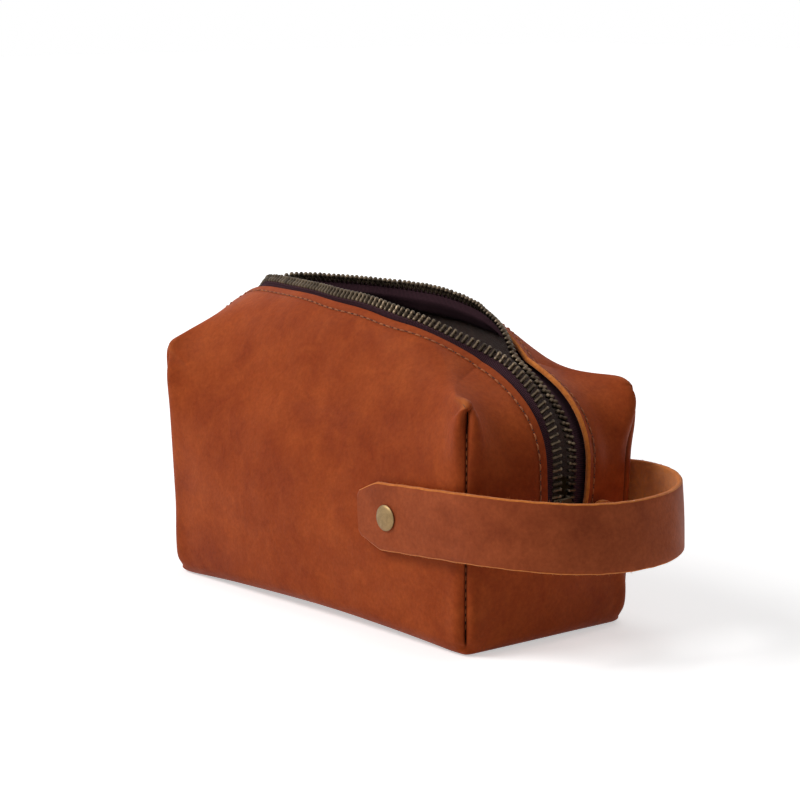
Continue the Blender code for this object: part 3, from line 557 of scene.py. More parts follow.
class Zipper:
    """Everything that is placed along one side of the zipper, from the right foot to the left."""

    def __init__(self, side):
        self.side = side
        foot = END_SEAM_HEIGHT / CORNER_HEIGHT
        start = foot + 0.0024 / CORNER_HEIGHT
        rises = np.linspace(start, 1.0, 90)
        tops = np.linspace(1.0, -1.0, 260)
        along = np.concatenate([np.ones(89), tops, -np.ones(89)])
        height = np.concatenate([rises[:-1], np.ones(260), rises[:-1][::-1]])
        sides = np.full(len(along), side)
        lip_width = lip_half_width(along, height, sides)
        self.lip = box_to_bag(along, side * TINY, height)
        tangents = normalised(np.gradient(self.lip, axis=0))
        beside = box_to_bag(along, side * STEP_SHARE, height)
        self.inward = normalised(self.lip - beside)
        self.normal = self.outward(tangents, self.inward)
        shares = share_at(along, height, sides, (TAPE_COVER, STITCH_INSET))
        cover, cover_normal = self.skin(along, side * shares[:, 0], height)
        stitch, stitch_normal = self.skin(along, side * shares[:, 1], height)
        depth = WALL + TAPE_GAP
        self.seat = self.lip - self.normal * depth
        self.cover = cover - cover_normal * depth
        place = slit_place(along, height)
        on_top = ease((place - 0.75) / 0.8) * (1.0 - ease((place - 2.70) / 0.25))
        lean = mix(END_TAPE_LEAN if side < 0.0 else 0.0, TAPE_LEAN, on_top)[:, None]
        lean = lean * (1.0 - ease((place - 2.70) / 0.25))[:, None]
        tooth_lean = mix(lean, TOOTH_LEAN, on_top[:, None])
        self.tooth_way = self.inward * np.cos(tooth_lean) + self.normal * np.sin(tooth_lean)
        self.tooth_over = self.normal * np.cos(tooth_lean) - self.inward * np.sin(tooth_lean)
        upright = self.inward * np.cos(lean) + self.normal * np.sin(lean)
        self.normal = self.normal * np.cos(lean) - self.inward * np.sin(lean)
        self.inward = upright
        self.stitch = stitch
        self.stitch_normal = stitch_normal
        rise = np.concatenate([[0.0], np.cumsum(np.linalg.norm(np.diff(self.lip, axis=0), axis=1))])
        start_gap = mix(ROW_GAPS[0], ROW_GAPS[1], np.minimum(rise / ROW_GAPS[2], 1.0))
        more = (0.0013 * (1.0 - ease((place - 0.9) / 0.4))) if side < 0.0 else 0.0
        tip = np.maximum(start_gap, lip_width - TAPE_SHOW - more - TOOTH_GAP - ROW_WIDTH)
        self.edge = self.seat + self.inward * (lip_width - tip - TOOTH_GAP - ROW_WIDTH)[:, None]
        self.rail = self.edge - self.normal * TAPE_THICKNESS / 2.0 + self.inward * TOOTH_GAP
        self.place = np.concatenate([[0.0], np.cumsum(np.linalg.norm(np.diff(self.rail, axis=0), axis=1))])
        self.stitch_place = np.concatenate([[0.0], np.cumsum(np.linalg.norm(np.diff(stitch, axis=0), axis=1))])

    def outward(self, tangents, inward):
        normal = normalised(np.cross(tangents, inward))
        centre = np.array([0.0, 0.0, 0.045])
        flip = np.sign(np.sum(normal * (self.lip - centre), axis=1, keepdims=True))
        return normal * flip

    def skin(self, along, across, height):
        """Points of the leather beside the lip, with their outward directions."""
        points = box_to_bag(along, across, height)
        beside = box_to_bag(along, across + self.side * STEP_SHARE, height)
        tangents = normalised(np.gradient(points, axis=0))
        normals = self.outward(tangents, normalised(points - beside))
        room = HALF_WIDTH - lip_half_width(along, height, across)
        lift = soft_waves(points) + rear_curl(along, across, height, np.abs(across) * room)
        return points + normals * lift[:, None], normals

    def at(self, values, place, places=None):
        """Reads a list of vectors at distances along the rail, or along other places."""
        places = self.place if places is None else places
        return np.stack([np.interp(place, places, values[:, axis]) for axis in range(3)], axis=-1)


def make_tape(zipper, name, materials, node):
    """The woven tape, from under the leather to the cord that the teeth grip."""
    half = TAPE_THICKNESS / 2.0
    step = 2
    rows = slice(None, None, step)
    edge, seat, cover = zipper.edge[rows], zipper.seat[rows], zipper.cover[rows]
    normal, inward = zipper.normal[rows], zipper.inward[rows]
    shares = (0.0, 0.12, 0.3, 0.5, 0.7, 0.88, 1.0)
    line = [edge + (seat - edge) * share for share in shares]
    line += [seat + (cover - seat) * share for share in (0.35, 0.7, 1.0)]
    wide = [point - normal * half for point in line]
    top = [point + normal * half for point in wide]
    low = [point - normal * half for point in wide]
    loops = np.stack(top + low[::-1], axis=1)
    shape = Shape()
    shape.add_loops(list(loops))
    item = shape.make(name, materials, 50.0)
    distance = zipper.place[rows]
    size = loops.shape[1]
    set_attribute(item, "run", np.repeat(distance, size))
    across = [0.0]
    for first, second in zip(line, line[1:]):
        across.append(across[-1] + float(np.linalg.norm((second - first)[len(edge) // 2])))
    ring = across + across[::-1]
    set_attribute(item, "width", np.tile(ring, len(edge)))
    dress(item, "bag", "tape", node)

    cord = Shape()
    cord.add_loops(list(tube_loops(zipper.edge - zipper.normal * half - zipper.inward * 0.0002, 0.00062, 8, (0.0, 1.0, 0.0))))
    bead = cord.make(name + "_cord", materials, 60.0)
    set_attribute(bead, "run", np.repeat(zipper.place, 8))
    set_attribute(bead, "width", np.zeros(len(zipper.place) * 8))
    dress(bead, "bag", "tape")


TOOTH_SECTIONS = ((-0.00045, 0.00045, 0.00070), (-0.00030, 0.00070, 0.00108), (0.0, 0.00080, 0.00120),
                  (0.0009, 0.00080, 0.00118), (0.0015, 0.00068, 0.00098), (0.0020, 0.00060, 0.00088),
                  (0.0025, 0.00070, 0.00100), (0.0030, 0.00074, 0.00104), (0.0034, 0.00064, 0.00090),
                  (0.00362, 0.00046, 0.00064), (0.00375, 0.00020, 0.00030))
TOOTH_CUT = 0.42


def tooth_loop(centre, run, over, half_run, half_over):
    corners = ((1.0, TOOTH_CUT), (TOOTH_CUT, 1.0), (-TOOTH_CUT, 1.0), (-1.0, TOOTH_CUT),
               (-1.0, -TOOTH_CUT), (-TOOTH_CUT, -1.0), (TOOTH_CUT, -1.0), (1.0, -TOOTH_CUT))
    return [centre + run * half_run * a + over * half_over * b for a, b in corners]


def make_teeth(zipper, name, materials, node, shift):
    """Separate metal teeth: each grips the cord with its foot and ends in a rounded head."""
    count = int((zipper.place[-1] - 2.0 * FIRST_TOOTH_RISE) / TOOTH_PITCH)
    shape = Shape()
    tones = []
    chance = random.Random(11 if zipper.side > 0.0 else 12)
    for number in range(count):
        place = FIRST_TOOTH_RISE + (number + shift) * TOOTH_PITCH + 0.00065
        rail = zipper.at(zipper.rail, place)
        inward = normalised(zipper.at(zipper.tooth_way, place))
        over = normalised(zipper.at(zipper.tooth_over, place))
        run = np.cross(inward, over)
        twist = chance.uniform(-0.05, 0.05)
        lean = normalised(inward + run * twist + over * chance.uniform(-0.03, 0.03))
        loops = [tooth_loop(rail + lean * reach, run, over, half_run, half_over)
                 for reach, half_run, half_over in TOOTH_SECTIONS]
        shape.add_loops(loops)
        tones += [chance.random()] * (8 * len(TOOTH_SECTIONS))
    item = shape.make(name, materials, 50.0)
    set_attribute(item, "tone", tones)
    dress(item, "bag", "brass", node)


def make_stitches(name, points, normals, runs, pitch, thickness, sink, materials, node, body="bag"):
    """Single stitches along a line, each dipping into a needle hole at both ends."""
    shape = Shape()
    chance = random.Random(len(name) * 7)
    tones = []
    total = runs[-1]
    count = int(total / pitch)
    read = lambda values, place: np.stack([np.interp(place, runs, values[:, axis]) for axis in range(3)], axis=-1)
    for number in range(count):
        start = (number + 0.16) * pitch + chance.uniform(-0.05, 0.05) * pitch
        end = start + pitch * chance.uniform(0.66, 0.74)
        places = np.linspace(start, end, 7)
        line = read(points, places)
        over = normalised(read(normals, places))
        shares = np.linspace(0.0, 1.0, 7)
        lift = thickness * (1.7 * np.sin(math.pi * shares) ** 0.6 - 0.95) - sink
        side = np.cross(normalised(np.gradient(line, axis=0)), over)
        slant = (shares - 0.5)[:, None] * side * chance.uniform(-0.10, 0.35) * thickness * 2.0
        path = line + over * lift[:, None] + slant
        radii = thickness * (0.62 + 0.38 * np.sin(math.pi * shares))
        shape.add_loops(list(tube_loops(path, radii, 7, over[3])), 0)
        tones += [chance.random()] * 49
        # Dark discs at both ends of each stitch, in the needle-hole material: painted shade inside the holes.
        for place in (start - pitch * 0.03, end + pitch * 0.03):
            centre = read(points, np.array([place]))[0]
            up = normalised(read(normals, np.array([place])))[0]
            along = normalised(read(points, np.array([place + 0.0004]))[0] - centre)
            across = np.cross(up, along)
            ring = []
            for step in range(8):
                turn = math.pi * step / 4.0
                ring.append(centre + up * 0.00006 + along * math.cos(turn) * thickness * 0.95
                            + across * math.sin(turn) * thickness * 0.85)
            shape.add(ring, [tuple(range(8))], 1)
            tones += [0.0] * 8
    item = shape.make(name, materials, 60.0)
    set_attribute(item, "tone", tones)
    dress(item, body, "thread", node)


# Shader helpers

class Nodes:
    """Short calls for one material's or group's node tree."""

    def __init__(self, tree):
        self.tree = tree
        self.column = 0

    def add(self, kind, **settings):
        node = self.tree.nodes.new(kind)
        node.location = (self.column * 180.0, -(self.column % 5) * 160.0)
        self.column += 1
        for name, value in settings.items():
            setattr(node, name, value)
        return node

    def link(self, source, target):
        self.tree.links.new(source, target)

    def set(self, node, **values):
        for name, value in values.items():
            socket = node.inputs[name.replace("_", " ")]
            if isinstance(value, bpy.types.NodeSocket):
                self.link(value, socket)
            else:
                socket.default_value = value
        return node

    def noise(self, vector, scale, detail=4.0, roughness=0.55, distortion=0.0):
        node = self.add("ShaderNodeTexNoise")
        self.link(vector, node.inputs["Vector"])
        node.inputs["Scale"].default_value = scale
        node.inputs["Detail"].default_value = detail
        node.inputs["Roughness"].default_value = roughness
        node.inputs["Distortion"].default_value = distortion
        return node.outputs["Fac"]

    def ramp(self, factor, *stops):
        node = self.add("ShaderNodeValToRGB")
        self.link(factor, node.inputs["Fac"])
        elements = node.color_ramp.elements
        while len(elements) < len(stops):
            elements.new(0.5)
        for element, (place, colour) in zip(elements, stops):
            element.position = place
            element.color = (*colour, 1.0) if len(colour) == 3 else colour
        return node.outputs["Color"]

    def range(self, value, low, high, to_low=0.0, to_high=1.0):
        node = self.add("ShaderNodeMapRange")
        node.clamp = True
        self.link(value, node.inputs["Value"])
        for name, number in (("From Min", low), ("From Max", high), ("To Min", to_low), ("To Max", to_high)):
            node.inputs[name].default_value = number
        return node.outputs["Result"]

    def math(self, operation, first, second=None, clamp=False):
        node = self.add("ShaderNodeMath", operation=operation, use_clamp=clamp)
        for index, value in enumerate((first, second)):
            if value is None:
                continue
            if isinstance(value, bpy.types.NodeSocket):
                self.link(value, node.inputs[index])
            else:
                node.inputs[index].default_value = value
        return node.outputs["Value"]

    def mix(self, factor, first, second, blend="MIX"):
        node = self.add("ShaderNodeMix", data_type="RGBA", blend_type=blend)
        for socket, value in ((node.inputs[0], factor), (node.inputs[6], first), (node.inputs[7], second)):
            if isinstance(value, bpy.types.NodeSocket):
                self.link(value, socket)
            elif isinstance(value, float):
                socket.default_value = value
            else:
                socket.default_value = (*value, 1.0)
        return node.outputs[2]

    def attribute(self, name):
        return self.add("ShaderNodeAttribute", attribute_name=name).outputs["Fac"]

    def bump(self, height, strength, distance, normal=None):
        node = self.add("ShaderNodeBump")
        self.link(height, node.inputs["Height"])
        node.inputs["Strength"].default_value = strength
        node.inputs["Distance"].default_value = distance
        if normal is not None:
            self.link(normal, node.inputs["Normal"])
        return node.outputs["Normal"]

    def object_place(self):
        return self.add("ShaderNodeTexCoord").outputs["Object"]


def new_group(name, inputs, outputs):
    tree = bpy.data.node_groups.new(name, "ShaderNodeTree")
    for socket_name, kind, value in inputs:
        socket = tree.interface.new_socket(name=socket_name, in_out="INPUT", socket_type=kind)
        if value is not None:
            socket.default_value = value
    for socket_name, kind in outputs:
        tree.interface.new_socket(name=socket_name, in_out="OUTPUT", socket_type=kind)
    nodes = Nodes(tree)
    return nodes, nodes.add("NodeGroupInput"), nodes.add("NodeGroupOutput")


def leather_tone_group():
    """Cloudy colour of dyed leather: big soft patches, small mottling and fine specks."""
    nodes, given, out = new_group(
        "leather tone",
        [("Vector", "NodeSocketVector", None), ("Base", "NodeSocketColor", (0.3, 0.08, 0.03, 1.0)),
         ("Light", "NodeSocketColor", (0.4, 0.13, 0.04, 1.0)), ("Dark", "NodeSocketColor", (0.2, 0.05, 0.02, 1.0)),
         ("Contrast", "NodeSocketFloat", 1.0)],
        [("Color", "NodeSocketColor"), ("Patch", "NodeSocketFloat")])
    place = given.outputs["Vector"]
    big = nodes.range(nodes.noise(place, 22.0, 3.0, 0.5, 0.4), 0.36, 0.66)
    middle = nodes.range(nodes.noise(place, 95.0, 5.0, 0.6, 0.6), 0.35, 0.68)
    small = nodes.noise(place, 620.0, 3.0, 0.6)
    light = nodes.math("MULTIPLY", nodes.math("MULTIPLY", big, middle), given.outputs["Contrast"], clamp=True)
    dark = nodes.math("MULTIPLY", nodes.math("SUBTRACT", 1.0, big), nodes.math("SUBTRACT", 1.0, middle))
    dark = nodes.math("MULTIPLY", dark, given.outputs["Contrast"], clamp=True)
    colour = nodes.mix(light, given.outputs["Base"], given.outputs["Light"])
    colour = nodes.mix(dark, colour, given.outputs["Dark"])
    speck = nodes.range(small, 0.3, 0.7, 0.82, 1.16)
    grey = nodes.add("ShaderNodeCombineColor")
    for channel in ("Red", "Green", "Blue"):
        nodes.link(speck, grey.inputs[channel])
    nodes.link(nodes.mix(0.7, colour, nodes.mix(1.0, colour, grey.outputs["Color"], "MULTIPLY")), out.inputs["Color"])
    nodes.link(nodes.math("MULTIPLY", big, middle), out.inputs["Patch"])
    return nodes.tree


def grain_group():
    """Height of leather grain: pebbled cells with fine pores."""
    nodes, given, out = new_group(
        "leather grain",
        [("Vector", "NodeSocketVector", None), ("Scale", "NodeSocketFloat", 900.0)],
        [("Height", "NodeSocketFloat")])
    cells = nodes.add("ShaderNodeTexVoronoi", feature="F1")
    warp = nodes.add("ShaderNodeTexNoise")
    nodes.link(given.outputs["Vector"], warp.inputs["Vector"])
    warp.inputs["Scale"].default_value = 240.0
    bent = nodes.add("ShaderNodeVectorMath", operation="MULTIPLY_ADD")
    nodes.link(warp.outputs["Color"], bent.inputs[0])
    bent.inputs[1].default_value = (0.0011, 0.0011, 0.0011)
    nodes.link(given.outputs["Vector"], bent.inputs[2])
    nodes.link(bent.outputs["Vector"], cells.inputs["Vector"])
    nodes.link(given.outputs["Scale"], cells.inputs["Scale"])
    pebble = nodes.math("POWER", cells.outputs["Distance"], 1.6)
    pores = nodes.noise(given.outputs["Vector"], 2600.0, 2.0, 0.5)
    height = nodes.math("SUBTRACT", nodes.math("MULTIPLY", pores, 0.35), pebble)
    nodes.link(height, out.inputs["Height"])
    return nodes.tree


def nap_group():
    """Fuzzy flesh side and raw cut edges: colour share and height."""
    nodes, given, out = new_group(
        "nap",
        [("Vector", "NodeSocketVector", None), ("Scale", "NodeSocketFloat", 1.0)],
        [("Tone", "NodeSocketFloat"), ("Height", "NodeSocketFloat")])
    scaled = nodes.add("ShaderNodeVectorMath", operation="SCALE")
    nodes.link(given.outputs["Vector"], scaled.inputs[0])
    nodes.link(given.outputs["Scale"], scaled.inputs["Scale"])
    place = scaled.outputs["Vector"]
    clouds = nodes.noise(place, 180.0, 6.0, 0.72, 1.2)
    fibres = nodes.noise(place, 1300.0, 6.0, 0.8, 2.0)
    nodes.link(nodes.math("ADD", nodes.math("MULTIPLY", clouds, 0.55), nodes.math("MULTIPLY", fibres, 0.45)), out.inputs["Tone"])
    nodes.link(nodes.math("ADD", fibres, nodes.math("MULTIPLY", clouds, 0.6)), out.inputs["Height"])
    return nodes.tree


def patina_group():
    """Antique finish on metal: bright where rubbed, dark elsewhere, in cloudy patches."""
    nodes, given, out = new_group(
        "antique patina",
        [("Vector", "NodeSocketVector", None), ("Bright", "NodeSocketColor", (0.5, 0.38, 0.2, 1.0)),
         ("Dark", "NodeSocketColor", (0.12, 0.09, 0.06, 1.0)), ("Rubbed", "NodeSocketFloat", 0.5)],
        [("Color", "NodeSocketColor"), ("Roughness", "NodeSocketFloat"), ("Height", "NodeSocketFloat")])
    place = given.outputs["Vector"]
    clouds = nodes.noise(place, 260.0, 5.0, 0.6, 0.5)
    fine = nodes.noise(place, 1900.0, 4.0, 0.6)
    rubbed = nodes.math("ADD", nodes.math("MULTIPLY", nodes.range(clouds, 0.3, 0.7), 0.5), given.outputs["Rubbed"], clamp=True)
    rubbed = nodes.math("MULTIPLY", rubbed, nodes.range(fine, 0.25, 0.75, 0.75, 1.1), clamp=True)
    nodes.link(nodes.mix(rubbed, given.outputs["Dark"], given.outputs["Bright"]), out.inputs["Color"])
    nodes.link(nodes.range(rubbed, 0.0, 1.0, 0.55, 0.30), out.inputs["Roughness"])
    nodes.link(fine, out.inputs["Height"])
    return nodes.tree


GROUPS = {"tone": leather_tone_group(), "grain": grain_group(), "nap": nap_group(), "patina": patina_group()}


def new_material(name):
    material = bpy.data.materials.new(name)
    material.use_nodes = True
    nodes = Nodes(material.node_tree)
    return material, nodes, material.node_tree.nodes["Principled BSDF"]


def use_group(nodes, name, **values):
    node = nodes.add("ShaderNodeGroup", node_tree=GROUPS[name])
    return nodes.set(node, **values)


def smooth_leather(name, base, light, dark, roughness=0.46, seams=False, specular=0.5):
    """Dyed and waxed leather. seams adds painted shade in the clefts and stitch channels and a painted highlight on the
    crests.
    """
    material, nodes, shader = new_material(name)
    place = nodes.object_place()
    tone = use_group(nodes, "tone", Vector=place, Base=(*base, 1.0), Light=(*light, 1.0), Dark=(*dark, 1.0))
    colour = tone.outputs["Color"]
    if seams:
        # Painted highlight: the crests over the seam tops are coloured paler.
        colour = nodes.mix(nodes.math("MULTIPLY", nodes.attribute("crest"), 0.75, clamp=True), colour, (0.56, 0.16, 0.040))
        # Painted shade: the seam clefts and the end seam groove are coloured nearly black.
        cleft = nodes.range(nodes.attribute("cleft"), 0.1, 0.85)
        colour = nodes.mix(cleft, colour, (0.035, 0.010, 0.005))
        # Painted shade: the stitch channels are coloured a little darker.
        colour = nodes.mix(nodes.math("MULTIPLY", nodes.attribute("channel"), 0.15), colour, (0.16, 0.04, 0.015))
    nodes.link(colour, shader.inputs["Base Color"])
    grain = use_group(nodes, "grain", Vector=place, Scale=1050.0).outputs["Height"]
    creases = nodes.noise(place, 150.0, 5.0, 0.65, 1.4)
    normal = nodes.bump(creases, 0.18, 0.0006)
    nodes.link(nodes.bump(grain, 0.30, 0.00016, normal), shader.inputs["Normal"])
    rough = nodes.range(nodes.noise(place, 60.0, 5.0, 0.6), 0.3, 0.7, roughness - 0.05, roughness + 0.07)
    nodes.link(rough, shader.inputs["Roughness"])
    shader.inputs["Specular IOR Level"].default_value = specular
    shader.inputs["Specular Tint"].default_value = (1.0, 0.62, 0.42, 1.0)
    return material


def raw_leather(name, light, dark, bump_height, scale=1.0):
    """Undyed flesh side or cut edge: matt, fibrous and uneven."""
    material, nodes, shader = new_material(name)
    place = nodes.object_place()
    nap = use_group(nodes, "nap", Vector=place, Scale=scale)
    shade = nodes.range(nap.outputs["Tone"], 0.36, 0.64)
    nodes.link(nodes.mix(shade, dark, light), shader.inputs["Base Color"])
    nodes.link(nodes.bump(nap.outputs["Height"], 0.8, bump_height), shader.inputs["Normal"])
    shader.inputs["Roughness"].default_value = 0.9
    shader.inputs["Specular IOR Level"].default_value = 0.2
    shader.inputs["Sheen Weight"].default_value = 0.25
    shader.inputs["Sheen Roughness"].default_value = 0.5
    return material


def woven_tape(name):
    """Ribbed zipper tape: fine ribs across the tape, thread by thread."""
    material, nodes, shader = new_material(name)
    run, width = nodes.attribute("run"), nodes.attribute("width")
    wave = nodes.math("SINE", nodes.math("MULTIPLY", run, 2.0 * math.pi / 0.00075))
    ribs = nodes.range(wave, -1.0, 1.0)
    warp = nodes.range(nodes.math("SINE", nodes.math("MULTIPLY", width, 2.0 * math.pi / 0.00055)), -1.0, 1.0)
    place = nodes.object_place()
    fuzz = nodes.noise(place, 1500.0, 4.0, 0.7)
    height = nodes.math("ADD", nodes.math("MULTIPLY", ribs, 0.75), nodes.math("MULTIPLY", warp, 0.25))
    height = nodes.math("ADD", height, nodes.math("MULTIPLY", fuzz, 0.25))
    nodes.link(nodes.bump(height, 0.9, 0.00022), shader.inputs["Normal"])
    # Painted shade: the colour follows the rib height and is near black in the troughs between the ribs.
    shade = nodes.math("MULTIPLY", nodes.math("ADD", nodes.math("MULTIPLY", ribs, 0.8), nodes.math("MULTIPLY", fuzz, 0.4)), 0.85, clamp=True)
    nodes.link(nodes.mix(shade, (0.004, 0.002, 0.003), (0.090, 0.034, 0.048)), shader.inputs["Base Color"])
    shader.inputs["Roughness"].default_value = 0.85
    shader.inputs["Specular IOR Level"].default_value = 0.15
    return material


def old_brass(name, bright, dark, rubbed, by_tone=False, tight=0.0):
    material, nodes, shader = new_material(name)
    patina = use_group(nodes, "patina", Vector=nodes.object_place(), Bright=(*bright, 1.0), Dark=(*dark, 1.0))
    if by_tone:
        tone = nodes.range(nodes.attribute("tone"), 0.0, 1.0, rubbed - 0.22, rubbed + 0.22)
        nodes.link(tone, patina.inputs["Rubbed"])
    else:
        patina.inputs["Rubbed"].default_value = rubbed
    nodes.link(patina.outputs["Color"], shader.inputs["Base Color"])
    nodes.link(nodes.math("ADD", patina.outputs["Roughness"], tight), shader.inputs["Roughness"])
    nodes.link(nodes.bump(patina.outputs["Height"], 0.25, 0.00008), shader.inputs["Normal"])
    shader.inputs["Metallic"].default_value = 1.0
    return material


def sewing_thread(name, light, dark):
    material, nodes, shader = new_material(name)
    place = nodes.object_place()
    strands = nodes.add("ShaderNodeTexWave", wave_type="BANDS", bands_direction="DIAGONAL")
    nodes.link(place, strands.inputs["Vector"])
    nodes.set(strands, Scale=900.0, Distortion=1.5, Detail=2.0)
    share = nodes.math("ADD", nodes.math("MULTIPLY", strands.outputs["Fac"], 0.5),
                       nodes.math("MULTIPLY", nodes.attribute("tone"), 0.5))
    nodes.link(nodes.mix(share, dark, light), shader.inputs["Base Color"])
    nodes.link(nodes.bump(strands.outputs["Fac"], 0.6, 0.00010), shader.inputs["Normal"])
    shader.inputs["Roughness"].default_value = 0.7
    return material


def plain_material(name, colour, roughness):
    material, nodes, shader = new_material(name)
    shader.inputs["Base Color"].default_value = (*colour, 1.0)
    shader.inputs["Roughness"].default_value = roughness
    return material


# Camera, light and floor

CAMERA_TURN = math.radians(49.6)
CAMERA_RISE = math.radians(9.6)
CAMERA_DISTANCE = 1.0337
CAMERA_AIM = (0.0035, 0.0315)
CAMERA_AIM_HEIGHT = 0.050
LENS_PIXELS = 2517.0
IMAGE_PIXELS = 800.0
SENSOR = 36.0


def make_camera():
    data = bpy.data.cameras.new("camera")
    data.sensor_width = SENSOR
    data.lens = LENS_PIXELS / IMAGE_PIXELS * SENSOR
    data.clip_end = 20.0
    item = bpy.data.objects.new("camera", data)
    bpy.context.scene.collection.objects.link(item)
    back = Vector((math.sin(CAMERA_TURN) * math.cos(CAMERA_RISE), -math.cos(CAMERA_TURN) * math.cos(CAMERA_RISE),
                   math.sin(CAMERA_RISE)))
    right = Vector((math.cos(CAMERA_TURN), math.sin(CAMERA_TURN), 0.0))
    up = back.cross(right)
    target = Vector((0.0, 0.0, CAMERA_AIM_HEIGHT)) + right * CAMERA_AIM[0] + up * CAMERA_AIM[1]
    item.location = target + back * CAMERA_DISTANCE
    item.rotation_euler = (-back).to_track_quat("-Z", "Y").to_euler()
    bpy.context.scene.camera = item


def make_light(name, place, size, power, target=(0.0, 0.0, 0.06)):
    data = bpy.data.lights.new(name, "AREA")
    data.shape = "RECTANGLE"
    data.size, data.size_y = size
    data.energy = power
    item = bpy.data.objects.new(name, data)
    bpy.context.scene.collection.objects.link(item)
    item.location = place
    item.rotation_euler = (Vector(target) - Vector(place)).to_track_quat("-Z", "Y").to_euler()


def make_studio():
    world = bpy.data.worlds.new("studio")
    bpy.context.scene.world = world
    world.use_nodes = True
    nodes = Nodes(world.node_tree)
    background = world.node_tree.nodes["Background"]
    rays = nodes.add("ShaderNodeLightPath")
    seen = nodes.math("MAXIMUM", rays.outputs["Is Camera Ray"], rays.outputs["Is Glossy Ray"])
    seen = nodes.math("MAXIMUM", seen, rays.outputs["Is Transmission Ray"])
    background.inputs["Color"].default_value = (1.0, 1.0, 1.0, 1.0)
    nodes.link(nodes.range(seen, 0.0, 1.0, 0.14, 1.0), background.inputs["Strength"])
    make_light("key", (-0.55, -1.08, 1.15), (0.9, 0.7), 16.0)
    make_light("top", (0.00, 0.30, 1.30), (0.8, 0.8), 4.0)
    make_light("fill", (1.35, -0.25, 0.55), (0.9, 0.9), 0.3)

    material, nodes, shader = new_material("studio floor")
    rays = nodes.add("ShaderNodeLightPath")
    seen = nodes.math("MAXIMUM", rays.outputs["Is Camera Ray"], rays.outputs["Is Glossy Ray"])
    seen = nodes.math("MAXIMUM", seen, rays.outputs["Is Transmission Ray"])
    away = nodes.add("ShaderNodeVectorMath", operation="LENGTH")
    nodes.link(nodes.object_place(), away.inputs[0])
    glow = nodes.range(away.outputs["Value"], 0.25, 1.3, 0.50, 0.95)
    shader.inputs["Base Color"].default_value = (0.93, 0.93, 0.93, 1.0)
    shader.inputs["Roughness"].default_value = 0.9
    nodes.link(nodes.math("MULTIPLY", seen, glow), shader.inputs["Emission Strength"])
    shader.inputs["Emission Color"].default_value = (1.0, 1.0, 1.0, 1.0)
    size = 6.0
    floor = add_mesh("floor", [(-size, -size, 0.0), (size, -size, 0.0), (size, size, 0.0), (-size, size, 0.0)],
                     [(0, 1, 2, 3)], [material])


make_camera()
make_studio()
bpy.context.scene.view_settings.view_transform = "Standard"

RUST = smooth_leather("rust leather", (0.335, 0.058, 0.013), (0.405, 0.078, 0.017), (0.250, 0.038, 0.009), 0.58,
                      seams=True, specular=0.13)
STRAP_FACE = smooth_leather("strap leather", (0.350, 0.073, 0.024), (0.420, 0.094, 0.032), (0.260, 0.050, 0.017), 0.56,
                            specular=0.15)
FLESH = raw_leather("napped flesh side", (0.95, 0.310, 0.045), (0.60, 0.160, 0.024), 0.0005)
# Painted shade: the flesh side inside the bag is coloured far darker than the strap's flesh side, standing in for the
# shade inside the bag.
SHADED_INSIDE_FLESH = raw_leather("flesh side inside the bag darkened as painted shade", (0.090, 0.026, 0.008), (0.034, 0.009, 0.003), 0.0004)
CUT_EDGE = raw_leather("raw cut edge", (0.92, 0.290, 0.045), (0.52, 0.120, 0.017), 0.0003, 1.6)
TAPE = woven_tape("ribbed tape")
TEETH = old_brass("antique brass teeth", (0.19, 0.140, 0.092), (0.016, 0.012, 0.010), 0.24, by_tone=True)
CAP_BRASS = old_brass("antique brass caps", (0.33, 0.22, 0.105), (0.12, 0.078, 0.036), 0.50, tight=0.06)
# Antique brass darkened further as painted shade: the slider, ring and stops are coloured much darker than the caps, so
# that they read as lying in shadow.
SHADED_ANTIQUE_BRASS = old_brass("antique brass slider darkened as painted shade", (0.11, 0.080, 0.048), (0.016, 0.012, 0.009), 0.22)
THREAD = sewing_thread("rust thread", (0.50, 0.150, 0.040), (0.24, 0.060, 0.018))
# Painted shade: near-black discs stand for the dark insides of the needle holes.
NEEDLE_HOLE_SHADE = plain_material("needle hole", (0.022, 0.006, 0.003), 0.9)


# Strap

def side_face_offset():
    return float(box_to_bag(RIVET.x / HALF_LENGTH, 1.0, RIVET.z / CORNER_HEIGHT)[1])


def strap_face_offset():
    return side_face_offset() + STRAP_SIDE_GAP + STRAP_THICKNESS / 2.0


def strap_line(step=0.0011):
    """Plan of the strap's middle layer from the front end round to the rear end, in the
    hinge's frame, with equal steps."""
    side_y = -strap_face_offset()
    corner = np.array([STRAP_SIDE_END - RIVET.x, side_y + STRAP_INSET])
    rivet = np.array([0.0, side_y])
    way = normalised(corner - rivet)
    tip = np.array([STRAP_REACH - RIVET.x, 0.0])
    ends = (corner, corner + way * STRAP_PULLS[0], tip - np.array([0.0, STRAP_PULLS[1]]), tip)
    shares = np.linspace(0.0, 1.0, 200)[:, None]
    rest = 1.0 - shares
    bend = (ends[0] * rest ** 3 + ends[1] * 3.0 * rest ** 2 * shares
            + ends[2] * 3.0 * rest * shares ** 2 + ends[3] * shares ** 3)
    half = np.concatenate([[[-STRAP_TAB_LENGTH, side_y]], [rivet], bend])
    line = np.concatenate([half, (half * [1.0, -1.0])[:-1][::-1]])
    run = np.concatenate([[0.0], np.cumsum(np.linalg.norm(np.diff(line, axis=0), axis=1))])
    count = int(round(run[-1] / step))
    places = np.linspace(0.0, run[-1], count + 1)
    return np.stack([np.interp(places, run, line[:, axis]) for axis in range(2)], axis=-1), places


STRAP_TOP_CUT = (0.0118, 0.0040)
STRAP_LOW_CUT = (0.0125, 0.0050)
STRAP_END_ROUND = 0.0016


